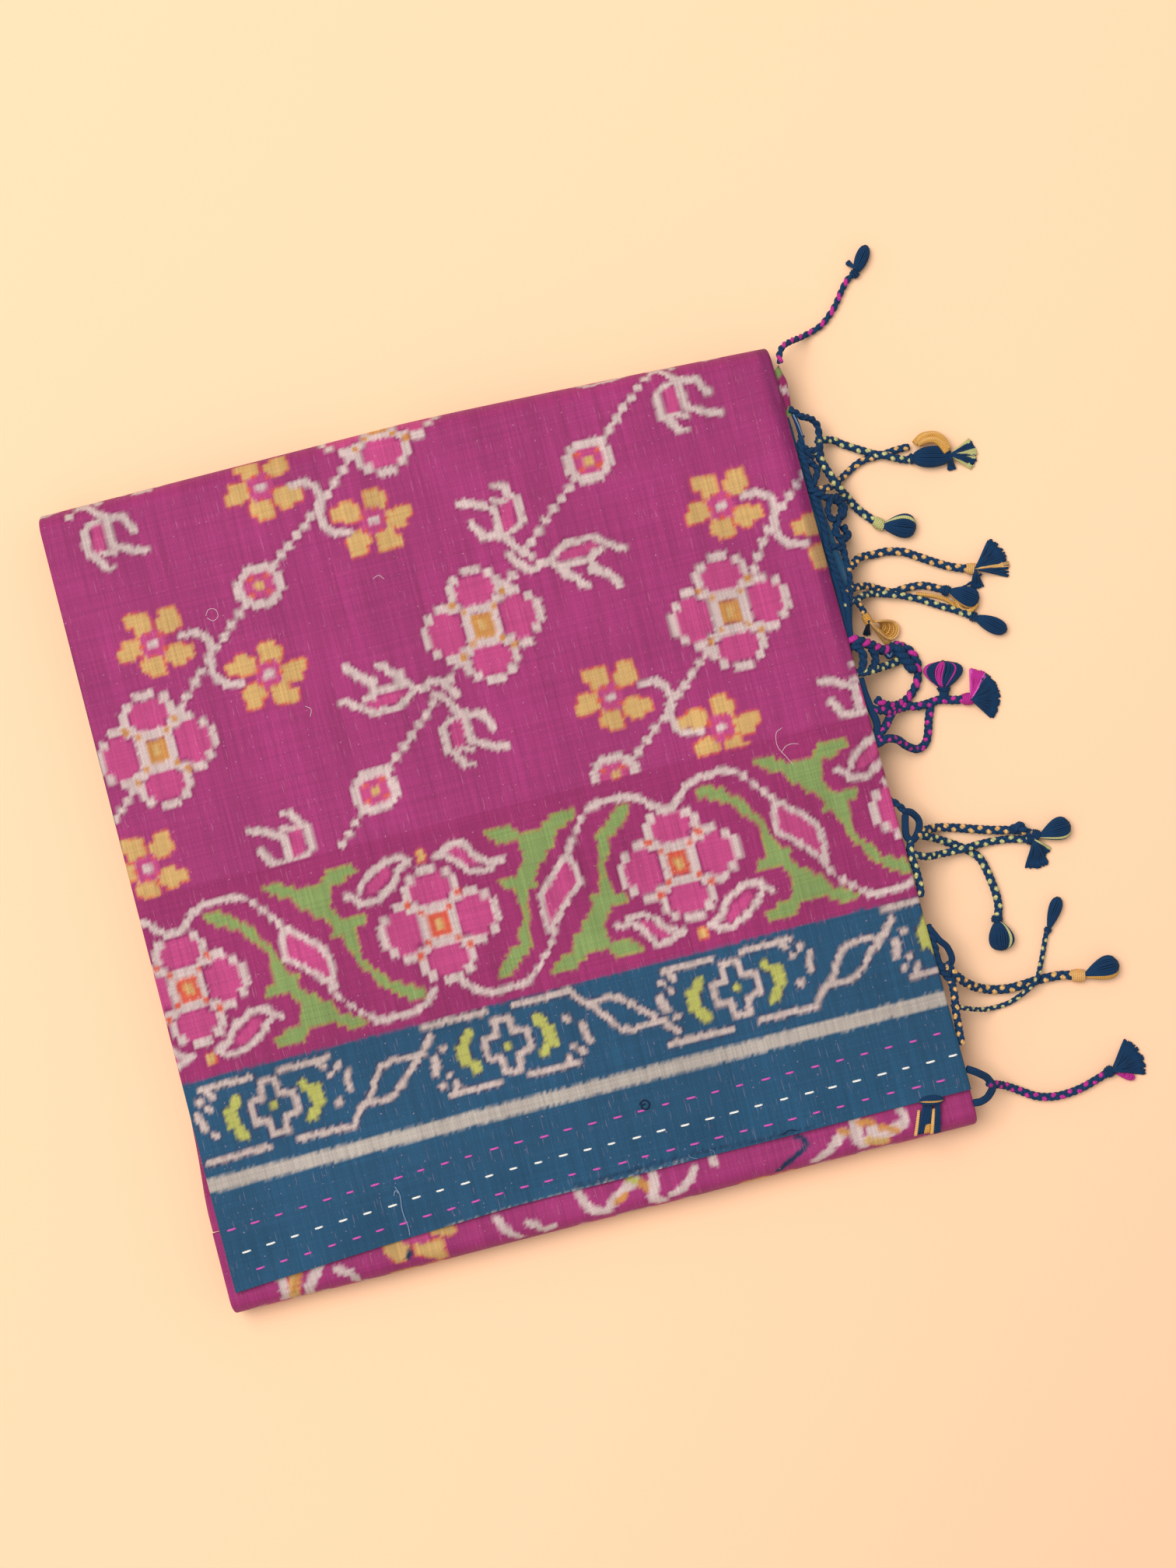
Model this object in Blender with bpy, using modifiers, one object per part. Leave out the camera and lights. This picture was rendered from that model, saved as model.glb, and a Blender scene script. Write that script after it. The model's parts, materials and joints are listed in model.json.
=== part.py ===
"""A tussar silk saree folded into a flat packet, with its braided end fringe spread out at the right.

Metres, +Z up. X runs along the woven border, Y from the selvedge towards the rear fold. The origin is
the centre of the packet's flat underside. The sizes below are in millimetres and are scaled once, where
a mesh is made. Each stretch of cloth is a wall, and the plies that don't show share one rounded solid.
"""

import math
from collections import namedtuple

import bmesh
import bpy
from mathutils import Matrix, Vector

MM = 0.001

# Cloth
WALL = 1.0
GAP = 0.3
PACKET_TOP = 19.6
SHEET_CLEAR = WALL + GAP

# Outline of the upper sheet, seen from above
LEFT = -139.3
RIGHT_REAR = 137.8
RIGHT_FRONT = 142.4
REAR = 153.7
REAR_SLANT = 6.6
SELVEDGE = -135.6
SELVEDGE_DIP = 5.4
DIP_START = -30.0
CURVE_POWER = 1.2

# Rear fold, and the side edges that turn under
REAR_ROLL = 8.0
ROLL_END_DEGREES = -78.0
TURN_UNDER = 4.0
TURN_RADIUS = (WALL + GAP) / 2
ROW_POWER = 1.4

# The upper sheet sinks to the front fold near the selvedge, and its loose edge ripples
SINK = 1.0
SINK_START = -119.0
SINK_LENGTH = 15.0
SINK_MARGIN = 12.0
RIPPLE = 0.35
RIPPLE_LENGTH = 61.0
CREASE = 0.5
CREASE_INSET = 8.5
CREASE_WIDTH = 2.6
CREASE_END = 60.0

# Front fold, below the selvedge
FRONT = -149.7
FRONT_TOP = 16.9
FRONT_ROLL = 6.0
FRONT_TUCK = -118.0
FRONT_LEFT = -142.5
FRONT_RIGHT = 142.2

# Left fold, which stands out beside the borders
LEFT_FOLD_OUT = 3.2
LEFT_FOLD_START = -60.0
LEFT_FOLD_END = -117.6
LEFT_FOLD_TOP = 16.9
LEFT_FOLD_HEIGHT = 7.4
LEFT_FOLD_TUCK = -134.2

# Pallu, the end of the cloth, one ply below the upper sheet
PALLU_TOP = 17.0
PALLU_TUCK = 126.0
CORNER_SKEW = 12.0
OVERHANG_START = 138.0
OVERHANG_SAG = 0.38

# Hidden plies
CORE_CORNER = 4.0
CORE_SIDE = 1.4
RIDGE_DEPTH = 0.9
ROLL_CLEAR = 1.7
ROLL_GAP = 0.4
CORE_BEND = 44.0
DOUBLED_CLEAR = 1.9
DOUBLED_WIDTH = 12.0
PLY_STEPS = 3
LEDGE_Z = 15.6
SHOULDER_Z = 16.8
SHOULDER_RISE = 0.25
SHOULDER_LEFT = -132.0
CORE_RIGHT_UPPER = 125.4

# Fringe
EDGE_Z = 15.1
REACH = 18.0
REST_CLEAR = 0.45
STRIP_HEIGHT = 1.8
STRIP_WIDTH = 2.2
BRAID_STEP = 6.5
FINGER_ROOT = 0.4
FINGER_RADIUS = 1.25
FINGER_TIP = 0.75

Ply = namedtuple("Ply", "low high left_in right_in")
# One row for each bundle of hidden plies, from the table up: its height span, and how far each side
# lies inside the upper sheet's edge.
PLIES = (
    Ply(0.0, 3.3, 1.2, 1.5),
    Ply(3.3, 6.4, 0.2, 2.3),
    Ply(6.4, 9.3, 0.9, 1.4),
    Ply(9.3, 12.5, 0.1, 2.0),
    Ply(12.5, 15.3, 0.7, 5.7),
)

Edge = namedtuple("Edge", "y out")
# How far the blue end band stands out past the upper sheet's right edge
BAND_EDGE = (
    Edge(121.4, 0.6), Edge(112.0, 1.0), Edge(103.0, 2.6), Edge(91.0, 4.0), Edge(78.0, 4.8),
    Edge(62.0, 6.2), Edge(50.0, 5.6), Edge(40.0, 3.0), Edge(26.0, -1.6), Edge(0.0, -3.2),
    Edge(-60.0, -3.2), Edge(-117.0, -3.2),
)
CORNER_EDGE = (Edge(141.0, 2.2), Edge(135.0, 3.4), Edge(128.0, 2.8), Edge(121.8, 2.2))

Strip = namedtuple("Strip", "name rear front out_rear out_front")
# The narrow header strips that the fringe is netted into, by their stretch along the right edge and how
# far their inner side stands out past the upper sheet's edge.
STRIPS = (
    Strip("fringe_rear_cord", 140.0, 134.0, 3.0, 3.8),
    Strip("fringe_lime_braids", 121.0, 88.0, 1.9, 4.7),
    Strip("fringe_tan_braids", 87.0, 39.0, 4.9, 4.2),
    Strip("fringe_magenta_braids", 36.0, -9.0, 2.6, -2.7),
    Strip("fringe_crossed_braids", -24.0, -63.0, -2.7, -2.7),
    Strip("fringe_gold_braids", -73.0, -114.0, -2.7, -2.7),
    Strip("fringe_front_braid", -127.0, -142.0, 0.6, 0.6),
)

Braid = namedtuple("Braid", "strip radius route head fingers")
Head = namedtuple("Head", "length width")
Finger = namedtuple("Finger", "turn length")
NONE = Head(0.0, 0.0)
SLIM = (Finger(-6, 8), Finger(6, 8))
BRUSH = (Finger(-26, 9), Finger(-13, 11), Finger(0, 12), Finger(13, 11), Finger(26, 9))
WIDE = (Finger(-44, 10), Finger(-27, 12), Finger(-9, 13), Finger(9, 13), Finger(27, 12), Finger(44, 10))
SPLIT = (Finger(-62, 12), Finger(-40, 13), Finger(-22, 11), Finger(34, 10), Finger(58, 11), Finger(80, 9))
# Each braid or looped cord: its strip, its radius, its route from the strip as (x, y, lift where it
# passes over another), the size of its tied head, and the fingers of its brush by turn and length.
BRAIDS = (
    Braid("fringe_rear_cord", 1.5,
          ((143.4, 137, 0), (144.2, 145, 0), (148, 150, 0), (155, 151.5, 0), (160, 154, 0), (166, 160, 0),
           (171, 165, 0), (175, 169, 0), (179, 172, 0)), Head(9, 4.6), (Finger(52, 6),)),
    Braid("fringe_lime_braids", 1.4,
          ((141, 119, 0), (145, 119.5, 0), (148.5, 116, 0), (149, 111, 0), (146, 105, 0), (143, 102, 0)),
          NONE, ()),
    Braid("fringe_lime_braids", 1.6,
          ((144, 112.5, 0), (151, 113, 0), (158, 108, 0), (163, 104.5, 3.6), (168, 101, 3.8),
           (174, 98, 1.0), (179, 95.5, 0), (184, 95, 0)), Head(15, 7.2), BRUSH),
    Braid("fringe_lime_braids", 1.6,
          ((144, 92.5, 0), (150, 91, 0), (155, 94, 0), (161, 98.5, 0), (166, 101, 0), (171, 102.5, 0),
           (177, 102, 0), (184, 98.5, 0)), NONE, ()),
    Braid("fringe_lime_braids", 1.7,
          ((144, 108, 0), (148, 103, 3.4), (152, 96.5, 4.2), (154, 90, 3.6), (156, 84.5, 0),
           (160, 79.5, 0), (166, 75, 0)), Head(13, 8.0), ()),
    Braid("fringe_tan_braids", 1.7,
          ((147, 63, 0), (150, 64.5, 0), (156, 66, 0), (162, 66, 0), (168, 64.5, 0), (174, 62, 0),
           (179, 58.5, 0), (184, 55, 0), (189, 52.5, 0), (194, 50, 0)), Head(6, 4.6), SPLIT),
    Braid("fringe_tan_braids", 1.6,
          ((146, 55.5, 0), (150, 55, 0), (156, 54, 0), (161, 53, 0), (168, 53, 0), (173, 52, 0),
           (178, 48.5, 0), (182, 46, 0)), Head(11, 7.0), ()),
    Braid("fringe_tan_braids", 1.5,
          ((146, 51, 0), (151, 50.2, 0), (157, 49.2, 0), (164, 48, 0), (170, 45.5, 0), (177, 40, 0),
           (184, 35, 0), (191, 31, 0), (195, 28.5, 0)), Head(9, 4.4), ()),
    Braid("fringe_tan_braids", 1.4,
          ((145.5, 46, 0), (148, 44.5, 0), (151, 41.5, 0)), NONE,
          (Finger(0, 11), Finger(12, 12), Finger(24, 12), Finger(36, 10))),
    Braid("fringe_magenta_braids", 2.0,
          ((142, 33.5, 0), (146, 32, 0), (150, 30, 0)), Head(7, 6.0), ()),
    Braid("fringe_magenta_braids", 1.5,
          ((141, 24, 0), (146, 22.5, 0), (151, 22, 0)), Head(5, 4.0), ()),
    Braid("fringe_magenta_braids", 1.8,
          ((150, 29, 0), (156, 27.5, 0), (162, 25.5, 0), (165, 21, 0), (164.5, 14.5, 0), (160, 9.5, 0),
           (155, 6.5, 0)), NONE, ()),
    Braid("fringe_magenta_braids", 1.5,
          ((140, 14, 0), (144, 10.5, 0), (149, 8.5, 0), (155, 6.5, 0)), NONE, ()),
    Braid("fringe_magenta_braids", 1.7,
          ((139.5, 3, 0), (145, 5, 0), (151, 5.5, 0), (157, 5.2, 0), (162, 4.6, 0), (170, 5, 0), (176, 4, 0),
           (181, 3.5, 0)), Head(5, 4.4), WIDE),
    Braid("fringe_magenta_braids", 1.5,
          ((171, 5, 0), (171.5, 8.5, 0), (172, 11, 0)), Head(9, 9.5), ()),
    Braid("fringe_magenta_braids", 1.6,
          ((140, -4, 0), (146, -5, 0), (151, -8, 0), (157, -11, 0), (161, -10, 0), (163, -6, 0),
           (163, 0, 0), (163, 4.5, 0)), NONE, ()),
    Braid("fringe_crossed_braids", 1.4,
          ((139, -26.5, 0), (145, -31, 0), (150, -35, 0), (151, -39, 0), (148, -42.5, 0), (143, -44, 0),
           (140, -44.5, 0)), NONE, ()),
    Braid("fringe_crossed_braids", 1.7,
          ((148, -38.5, 0), (156, -39, 0), (164, -41, 0), (172, -44, 0), (179, -46, 0), (185, -48.5, 0),
           (191, -50, 0)), Head(14, 6.4), (Finger(-16, 14), Finger(16, 13))),
    Braid("fringe_crossed_braids", 1.5,
          ((141, -44.5, 0), (149, -43.5, 0), (156, -45, 2.0), (163, -49, 3.9), (168, -50.5, 3.9),
           (174, -51.5, 0), (181, -52.5, 0), (187, -55.5, 0)), Head(5, 4.2),
          (Finger(-40, 9), Finger(-24, 10), Finger(-8, 10))),
    Braid("fringe_crossed_braids", 1.7,
          ((140, -50, 0), (147, -50, 0), (154, -50.5, 0), (161, -51, 0), (166, -53.5, 0), (170, -58, 0),
           (172, -64, 0), (172, -71, 0), (170, -78, 0)), Head(12, 8.6), ()),
    Braid("fringe_crossed_braids", 1.4,
          ((140, -49, 0), (143.2, -53, 0), (142.8, -57, 0), (139.6, -61, 0)), NONE, ()),
    Braid("fringe_gold_braids", 1.4,
          ((139.5, -75, 0), (144, -79, 0), (148, -85, 0), (147, -89.5, 0), (142, -91.5, 0),
           (140, -92.5, 0)), NONE, ()),
    Braid("fringe_gold_braids", 1.8,
          ((141, -92, 0), (147.5, -93.5, 0), (152, -98, 0), (158, -102, 0), (166, -104.5, 0),
           (174, -105.5, 0), (181, -106, 0), (187, -107, 0), (192, -108, 0)), Head(16, 7.4),
          (Finger(-10, 17), Finger(8, 17))),
    Braid("fringe_gold_braids", 1.1,
          ((141, -107, 0), (148, -110, 0), (155, -111.5, 0), (163, -111.5, 0), (170, -110, 1.6),
           (176, -107, 4.2), (180, -102.5, 4.0), (183, -97, 0.6), (185.5, -90, 0), (188, -83, 0)),
          Head(9, 3.4), ()),
    Braid("fringe_gold_braids", 1.4,
          ((141, -95, 0), (146, -99, 0), (147, -104, 0), (146, -110, 2.0), (144, -115.5, 0),
           (144.4, -120, 0)), NONE, ()),
    Braid("fringe_front_braid", 1.5,
          ((144, -129, 0), (149, -130.5, 0), (152, -134.5, 0), (151, -139, 0), (147.5, -141, 0),
           (144, -141, 0)), NONE, ()),
    Braid("fringe_front_braid", 1.7,
          ((151, -135.5, 0), (157, -139, 0), (164, -142.5, 0), (171, -145, 0), (178, -146.5, 0),
           (185, -146, 0), (191, -144.5, 0), (197, -142, 0), (201, -140, 0)), Head(7, 5.0), BRUSH),
)

# Small tassel that lies on the front fold, just below the selvedge
FOLD_TASSEL_AT = (127.5, -139.4, 19.0)
FOLD_TASSEL_HEAD = Head(7.0, 3.4)
FOLD_FINGERS = (
    ((128.6, -140.0, 19.0), (128.4, -147.6, 18.2), 1.2),
    ((126.2, -140.0, 19.0), (122.6, -147.8, 18.2), 1.4),
    ((124.8, -139.8, 19.0), (119.6, -146.6, 18.4), 0.7),
)
FOLD_FINGER_TIP = 0.5

SILK_ROUGHNESS = 0.55
COTTON_ROUGHNESS = 0.75
Colour = namedtuple("Colour", "name red green blue roughness")
MAGENTA = Colour("magenta tussar silk", 0.40, 0.055, 0.19, SILK_ROUGHNESS)
DEEP_MAGENTA = Colour("shaded magenta silk", 0.30, 0.03, 0.14, SILK_ROUGHNESS)
BLUE = Colour("blue border silk", 0.04, 0.12, 0.21, SILK_ROUGHNESS)
NAVY = Colour("navy fringe thread", 0.012, 0.045, 0.12, COTTON_ROUGHNESS)


def clear_scene():
    """Removes every object of the opened scene."""
    for thing in list(bpy.data.objects):
        bpy.data.objects.remove(thing)


def collection(name):
    """A new collection in the scene."""
    made = bpy.data.collections.new(name)
    bpy.context.scene.collection.children.link(made)
    return made


def material(colour):
    """A Principled material of one colour, made once."""
    made = bpy.data.materials.get(colour.name)
    if made:
        return made
    made = bpy.data.materials.new(colour.name)
    made.use_nodes = True
    shader = made.node_tree.nodes["Principled BSDF"]
    shader.inputs["Base Color"].default_value = (colour.red, colour.green, colour.blue, 1.0)
    shader.inputs["Roughness"].default_value = colour.roughness
    shader.inputs["Metallic"].default_value = 0.0
    return made


def smooth(share):
    """Eases a share from 0 to 1, held at both ends."""
    held = min(1.0, max(0.0, share))
    return held * held * (3 - 2 * held)


def right_edge(y):
    """Where the upper sheet's right edge lies at this depth."""
    share = min(1.0, max(0.0, (REAR - y) / (REAR - SELVEDGE)))
    return RIGHT_REAR + (RIGHT_FRONT - RIGHT_REAR) * share


def rear_edge(x):
    """Where the rear fold lies at this place along the border."""
    return REAR - REAR_SLANT * max(0.0, x / RIGHT_REAR) ** CURVE_POWER


def selvedge(x):
    """Where the selvedge lies at this place along the border."""
    share = max(0.0, (DIP_START - x) / (DIP_START - LEFT))
    return SELVEDGE - SELVEDGE_DIP * share**CURVE_POWER


def outline(edges, y):
    """Reads a table of edge rows at one depth, on straight lines between its rows."""
    for rear, front in zip(edges, edges[1:]):
        if y >= front.y:
            share = min(1.0, max(0.0, (rear.y - y) / (rear.y - front.y)))
            return rear.out + (front.out - rear.out) * share
    return edges[-1].out


def rolled_rows(start, edge, top, roll, flat_rows, roll_rows):
    """The outer skin of a sheet that runs flat and then rolls down over an edge, as (y, z, normal)."""
    way = 1.0 if edge > start else -1.0
    shoulder = edge - way * roll
    reach = shoulder - start
    rows = [(start + reach * (i / flat_rows) ** ROW_POWER, top, (0.0, 1.0)) for i in range(flat_rows)]
    middle = top / 2
    for i in range(roll_rows + 1):
        angle = math.radians(90 + (ROLL_END_DEGREES - 90) * i / roll_rows)
        normal = Vector((way * math.cos(angle) / roll, math.sin(angle) / middle)).normalized()
        y = shoulder + way * roll * math.cos(angle)
        rows.append((y, middle + middle * math.sin(angle), tuple(normal)))
    return rows


def turned_columns(flat_columns):
    """Across a sheet whose side edges turn under: (side, distance in from that edge, depth)."""
    centre = WALL / 2 + TURN_RADIUS
    turn = [(centre + TURN_UNDER, 2 * TURN_RADIUS)]
    for angle in (-90, -45, 0, 45, 90):
        away = TURN_RADIUS * math.cos(math.radians(angle))
        drop = TURN_RADIUS * (1 - math.sin(math.radians(angle)))
        turn.append((centre - away, drop))
    left = [("left", inward, depth) for inward, depth in turn]
    middle = [("across", (i + 1) / (flat_columns + 1), 0.0) for i in range(flat_columns)]
    right = [("right", inward, depth) for inward, depth in reversed(turn)]
    return left + middle + right


def grid_object(name, columns, rows, place, thickness, colour, parts):
    """A grid of cloth whose points are set by place(column, row), thickened evenly to both sides."""
    shape = bmesh.new()
    bmesh.ops.create_grid(shape, x_segments=columns - 1, y_segments=rows - 1, size=1.0)
    for point in shape.verts:
        column = round((point.co.x + 1) / 2 * (columns - 1))
        row = round((point.co.y + 1) / 2 * (rows - 1))
        point.co = Vector(place(column, row)) * MM
    made = object_from(name, shape, colour, parts)
    wall = made.modifiers.new("wall", "SOLIDIFY")
    wall.thickness = thickness * MM
    wall.offset = 0.0
    wall.use_even_offset = True
    return made


def object_from(name, shape, colour, parts):
    """An object of this mesh in a collection, shaded smooth but for its sharp edges."""
    mesh = bpy.data.meshes.new(name)
    shape.to_mesh(mesh)
    shape.free()
    mesh.shade_smooth()
    mesh.set_sharp_from_angle(angle=math.radians(50))
    mesh.materials.append(material(colour))
    made = bpy.data.objects.new(name, mesh)
    parts.objects.link(made)
    return made


def sheet_lift(x, y):
    """How far the upper sheet lies off its level height: the sunken front, its ripple and the crease."""
    inside = min(x - LEFT, right_edge(y) - x)
    free = smooth((inside - TURN_UNDER) / SINK_MARGIN)
    front = smooth((SINK_START - y) / SINK_LENGTH)
    ripple = RIPPLE * (1 + math.sin(2 * math.pi * x / RIPPLE_LENGTH))
    crease_off = (right_edge(y) - CREASE_INSET - x) / CREASE_WIDTH
    crease = CREASE * math.exp(-crease_off * crease_off) * smooth((y - CREASE_END) / CREASE_END)
    return free * front * (ripple - SINK) + crease


def upper_sheet(parts):
    """The upper panel: the sheet from the selvedge back over the rear fold, its side edges turned under."""
    columns = turned_columns(17)
    flat_rows, roll_rows = 12, 7

    def place(column, row):
        side, inward, depth = columns[column]
        level = rolled_rows(SELVEDGE, REAR, PACKET_TOP, REAR_ROLL, flat_rows, roll_rows)[row][0]
        left, right = LEFT, right_edge(level)
        if side == "across":
            turned = WALL / 2 + TURN_RADIUS
            x = left + turned + (right - left - 2 * turned) * inward
        else:
            x = left + inward if side == "left" else right - inward
        rows = rolled_rows(selvedge(x), rear_edge(x), PACKET_TOP, REAR_ROLL, flat_rows, roll_rows)
        y, z, normal = rows[row]
        deep = depth + WALL / 2
        lift = sheet_lift(x, y) if row < flat_rows else 0.0
        return x, y - normal[0] * deep, z - normal[1] * deep + lift

    rows = flat_rows + roll_rows + 1
    return grid_object("top_sheet", len(columns), rows, place, WALL, MAGENTA, parts)


def front_fold(parts):
    """The magenta ply below the selvedge: it comes out from under the upper sheet and folds down."""
    columns = turned_columns(9)
    flat_rows, roll_rows = 3, 7

    def place(column, row):
        side, inward, depth = columns[column]
        turned = WALL / 2 + TURN_RADIUS
        if side == "across":
            x = FRONT_LEFT + turned + (FRONT_RIGHT - FRONT_LEFT - 2 * turned) * inward
        else:
            x = FRONT_LEFT + inward if side == "left" else FRONT_RIGHT - inward
        rows = rolled_rows(FRONT_TUCK, FRONT, FRONT_TOP, FRONT_ROLL, flat_rows, roll_rows)
        y, z, normal = rows[row]
        deep = depth + WALL / 2
        return x, y - normal[0] * deep, z - normal[1] * deep

    rows = flat_rows + roll_rows + 1
    return grid_object("front_fold", len(columns), rows, place, WALL, MAGENTA, parts)


def left_fold(parts):
    """The fold that stands out at the left beside the borders, a wall bent round like a hairpin."""
    stations = 9
    middle = LEFT_FOLD_TOP - LEFT_FOLD_HEIGHT / 2
    radius = LEFT_FOLD_HEIGHT / 2 - WALL / 2
    bend = [("tuck", radius)]
    bend += [("bend", angle) for angle in (90, 60, 30, 0, -30, -60, -90)]
    bend += [("tuck", -radius)]

    def place(column, row):
        kind, value = bend[column]
        y = LEFT_FOLD_START + (LEFT_FOLD_END - LEFT_FOLD_START) * row / (stations - 1)
        share = (LEFT_FOLD_START - y) / (LEFT_FOLD_START - LEFT_FOLD_END)
        outer = LEFT - LEFT_FOLD_OUT * smooth(share) + WALL / 2
        if kind == "tuck":
            return LEFT_FOLD_TUCK, y, middle + value
        angle = math.radians(value)
        return outer + radius * (1 - math.cos(angle)), y, middle + radius * math.sin(angle)

    return grid_object("left_fold", len(bend), stations, place, WALL, DEEP_MAGENTA, parts)


def pallu_sheet(name, edges, rear_skew, colour, parts, stations):
    """A stretch of the pallu, from where it is tucked in to its outer edge, which sags where it overhangs."""
    rear, front = edges[0].y, edges[-1].y
    columns = 6

    def place(column, row):
        share = row / (stations - 1)
        y = rear + (front - rear) * share
        outer = right_edge(y) + outline(edges, y)
        across = column / (columns - 1)
        x = PALLU_TUCK + (outer - PALLU_TUCK) * across
        over = max(0.0, x - OVERHANG_START)
        skewed = y - rear_skew * (1 - share) * (1 - across)
        return x, skewed, PALLU_TOP - WALL / 2 - OVERHANG_SAG * over

    return grid_object(name, columns, stations, place, WALL, colour, parts)


def roll_reach(z, top, roll):
    """How far out the inside of a rolled edge reaches at a height, counted from the roll's shoulder."""
    middle = top / 2
    share = (z - middle) / (middle - SHEET_CLEAR)
    return (roll - ROLL_CLEAR) * math.sqrt(max(0.0, 1 - share * share))


def core_sides(z, ply, swell):
    """The four sides of the hidden plies at a height, as functions of where along that side they are."""

    def doubled(x):
        return ROLL_GAP + DOUBLED_CLEAR * smooth((abs(x) + DOUBLED_WIDTH + LEFT) / (DOUBLED_WIDTH / 2))

    def rear(x):
        return rear_edge(x) - REAR_ROLL - doubled(x) + roll_reach(z, PACKET_TOP, REAR_ROLL)

    def front(x):
        if z >= LEDGE_Z:
            return FRONT_TUCK + CORE_CORNER
        return FRONT + FRONT_ROLL + doubled(x) - roll_reach(z, FRONT_TOP, FRONT_ROLL)

    def left(y):
        if z > SHOULDER_Z:
            return SHOULDER_LEFT
        side = LEFT + CORE_SIDE * (z >= LEDGE_Z) + ply.left_in + RIDGE_DEPTH * swell
        bent = smooth((LEFT_FOLD_START + CORE_BEND - y) / (CORE_BEND / 2))
        tucked = LEFT_FOLD_TUCK + GAP
        if LEFT_FOLD_TOP - LEFT_FOLD_HEIGHT - GAP < z:
            return side + (tucked - side) * bent
        return side

    def right(y):
        if z >= LEDGE_Z:
            return CORE_RIGHT_UPPER
        return right_edge(y) - ply.right_in - RIDGE_DEPTH * swell

    return rear, front, left, right


def core_levels():
    """The heights of the core's rings, with the ply each lies in and how far its side is drawn in."""
    levels = [(PLIES[0].low, PLIES[0], 1.0)]
    for ply, above in zip(PLIES, PLIES[1:] + PLIES[-1:]):
        for step in range(1, PLY_STEPS):
            share = step / PLY_STEPS
            levels.append((ply.low + (ply.high - ply.low) * share, ply, (2 * share - 1) ** 2))
        deeper = Ply(ply.low, ply.high, max(ply.left_in, above.left_in), max(ply.right_in, above.right_in))
        levels.append((ply.high, deeper, 1.0))
    last = PLIES[-1]
    heights = (LEDGE_Z, SHOULDER_Z, SHOULDER_Z + SHOULDER_RISE, PACKET_TOP - SHEET_CLEAR)
    return levels + [(height, last, 1.0) for height in heights]


def ring_fractions(across, deep, corner_steps):
    """Round a rectangle with rounded corners, as (side to side, front to rear, corner angle)."""
    marks = []
    for quarter in range(4):
        count = across if quarter % 2 == 0 else deep
        for i in range(1, count):
            marks.append((quarter, i / count, None))
        for i in range(corner_steps + 1):
            marks.append((quarter, 1.0, i / corner_steps))
    return marks


def ring_point(mark, sides, span):
    """One point of a ring: sides give where each side is, and span the nominal half sizes."""
    rear, front, left, right = sides
    quarter, share, corner = mark
    half_y = span[1]
    front_left, front_right = left(-half_y), right(-half_y)
    rear_left, rear_right = left(half_y), right(half_y)
    if corner is None:
        inner = CORE_CORNER
        if quarter == 0:
            x = front_left + inner + (front_right - front_left - 2 * inner) * share
            return x, front(x)
        if quarter == 2:
            x = rear_right - inner + (rear_left - rear_right + 2 * inner) * share
            return x, rear(x)
        side, near, far = (right, front_right, rear_right) if quarter == 1 else (left, front_left, rear_left)
        low, high = front(near) + inner, rear(far) - inner
        y = low + (high - low) * share if quarter == 1 else high + (low - high) * share
        return side(y), y
    angle = math.radians(90 * corner)
    lead, trail = 1 - math.cos(angle), 1 - math.sin(angle)
    if quarter == 0:
        x = front_right - CORE_CORNER * trail
        return x, front(x) + CORE_CORNER * lead
    if quarter == 1:
        x = rear_right - CORE_CORNER * lead
        return x, rear(x) - CORE_CORNER * trail
    if quarter == 2:
        x = rear_left + CORE_CORNER * trail
        return x, rear(x) - CORE_CORNER * lead
    x = front_left + CORE_CORNER * lead
    return x, front(x) + CORE_CORNER * trail


def folded_plies(parts):
    """The hidden plies: one solid inside the folds, flat below, its left and right sides in bundles."""
    marks = ring_fractions(8, 14, 2)
    span = (-LEFT, -FRONT)
    shape = bmesh.new()
    rings = []
    for z, ply, swell in core_levels():
        sides = core_sides(z, ply, swell)
        points = [(*ring_point(mark, sides, span), z) for mark in marks]
        rings.append([shape.verts.new(Vector(point) * MM) for point in points])
    shape.faces.new(list(reversed(rings[0])))
    shape.faces.new(rings[-1])
    for low, high in zip(rings, rings[1:]):
        for i, start in enumerate(low):
            after = (i + 1) % len(low)
            shape.faces.new((start, low[after], high[after], high[i]))
    return object_from("folded_plies", shape, DEEP_MAGENTA, parts)


def hang(x, y, radius):
    """The height of a cord's centre: level at the packet's edge, then sagging to the table."""
    rest = radius + REST_CLEAR
    out = (x - right_edge(y) - WALL) / REACH
    return rest + (EDGE_Z - rest) * (1 - smooth(out))


def eased(points):
    """A smooth line through route points, with a point about every few millimetres."""
    ends = [2 * points[0] - points[1]] + points + [2 * points[-1] - points[-2]]
    line = []
    for before, start, end, after in zip(ends, ends[1:], ends[2:], ends[3:]):
        steps = max(1, round((end - start).length / BRAID_STEP))
        for i in range(steps):
            t = i / steps
            line.append(0.5 * (2 * start + (end - before) * t
                               + (2 * before - 5 * start + 4 * end - after) * t * t
                               + (3 * start - before - 3 * end + after) * t**3))
    return line + [points[-1]]


def braid_line(braid):
    """The centre line of a braid, in millimetres."""
    points = [Vector((x, y, hang(x, y, braid.radius) + lift)) for x, y, lift in braid.route]
    return eased(points)


def tube(name, line, radius, parts):
    """A four-sided strand along a line, as a mesh."""
    curve = bpy.data.curves.new(name, "CURVE")
    curve.dimensions = "3D"
    curve.bevel_depth = radius * MM
    curve.bevel_resolution = 0
    curve.use_fill_caps = True
    path = curve.splines.new("POLY")
    path.points.add(len(line) - 1)
    for point, place in zip(path.points, line):
        point.co = (*(place * MM), 1.0)
    guide = bpy.data.objects.new(name + " guide", curve)
    parts.objects.link(guide)
    mesh = bpy.data.meshes.new_from_object(guide.evaluated_get(bpy.context.evaluated_depsgraph_get()))
    bpy.data.objects.remove(guide)
    shape = bmesh.new()
    shape.from_mesh(mesh)
    bpy.data.meshes.remove(mesh)
    bmesh.ops.remove_doubles(shape, verts=shape.verts, dist=0.00001)
    return object_from(name, shape, NAVY, parts)


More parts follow.
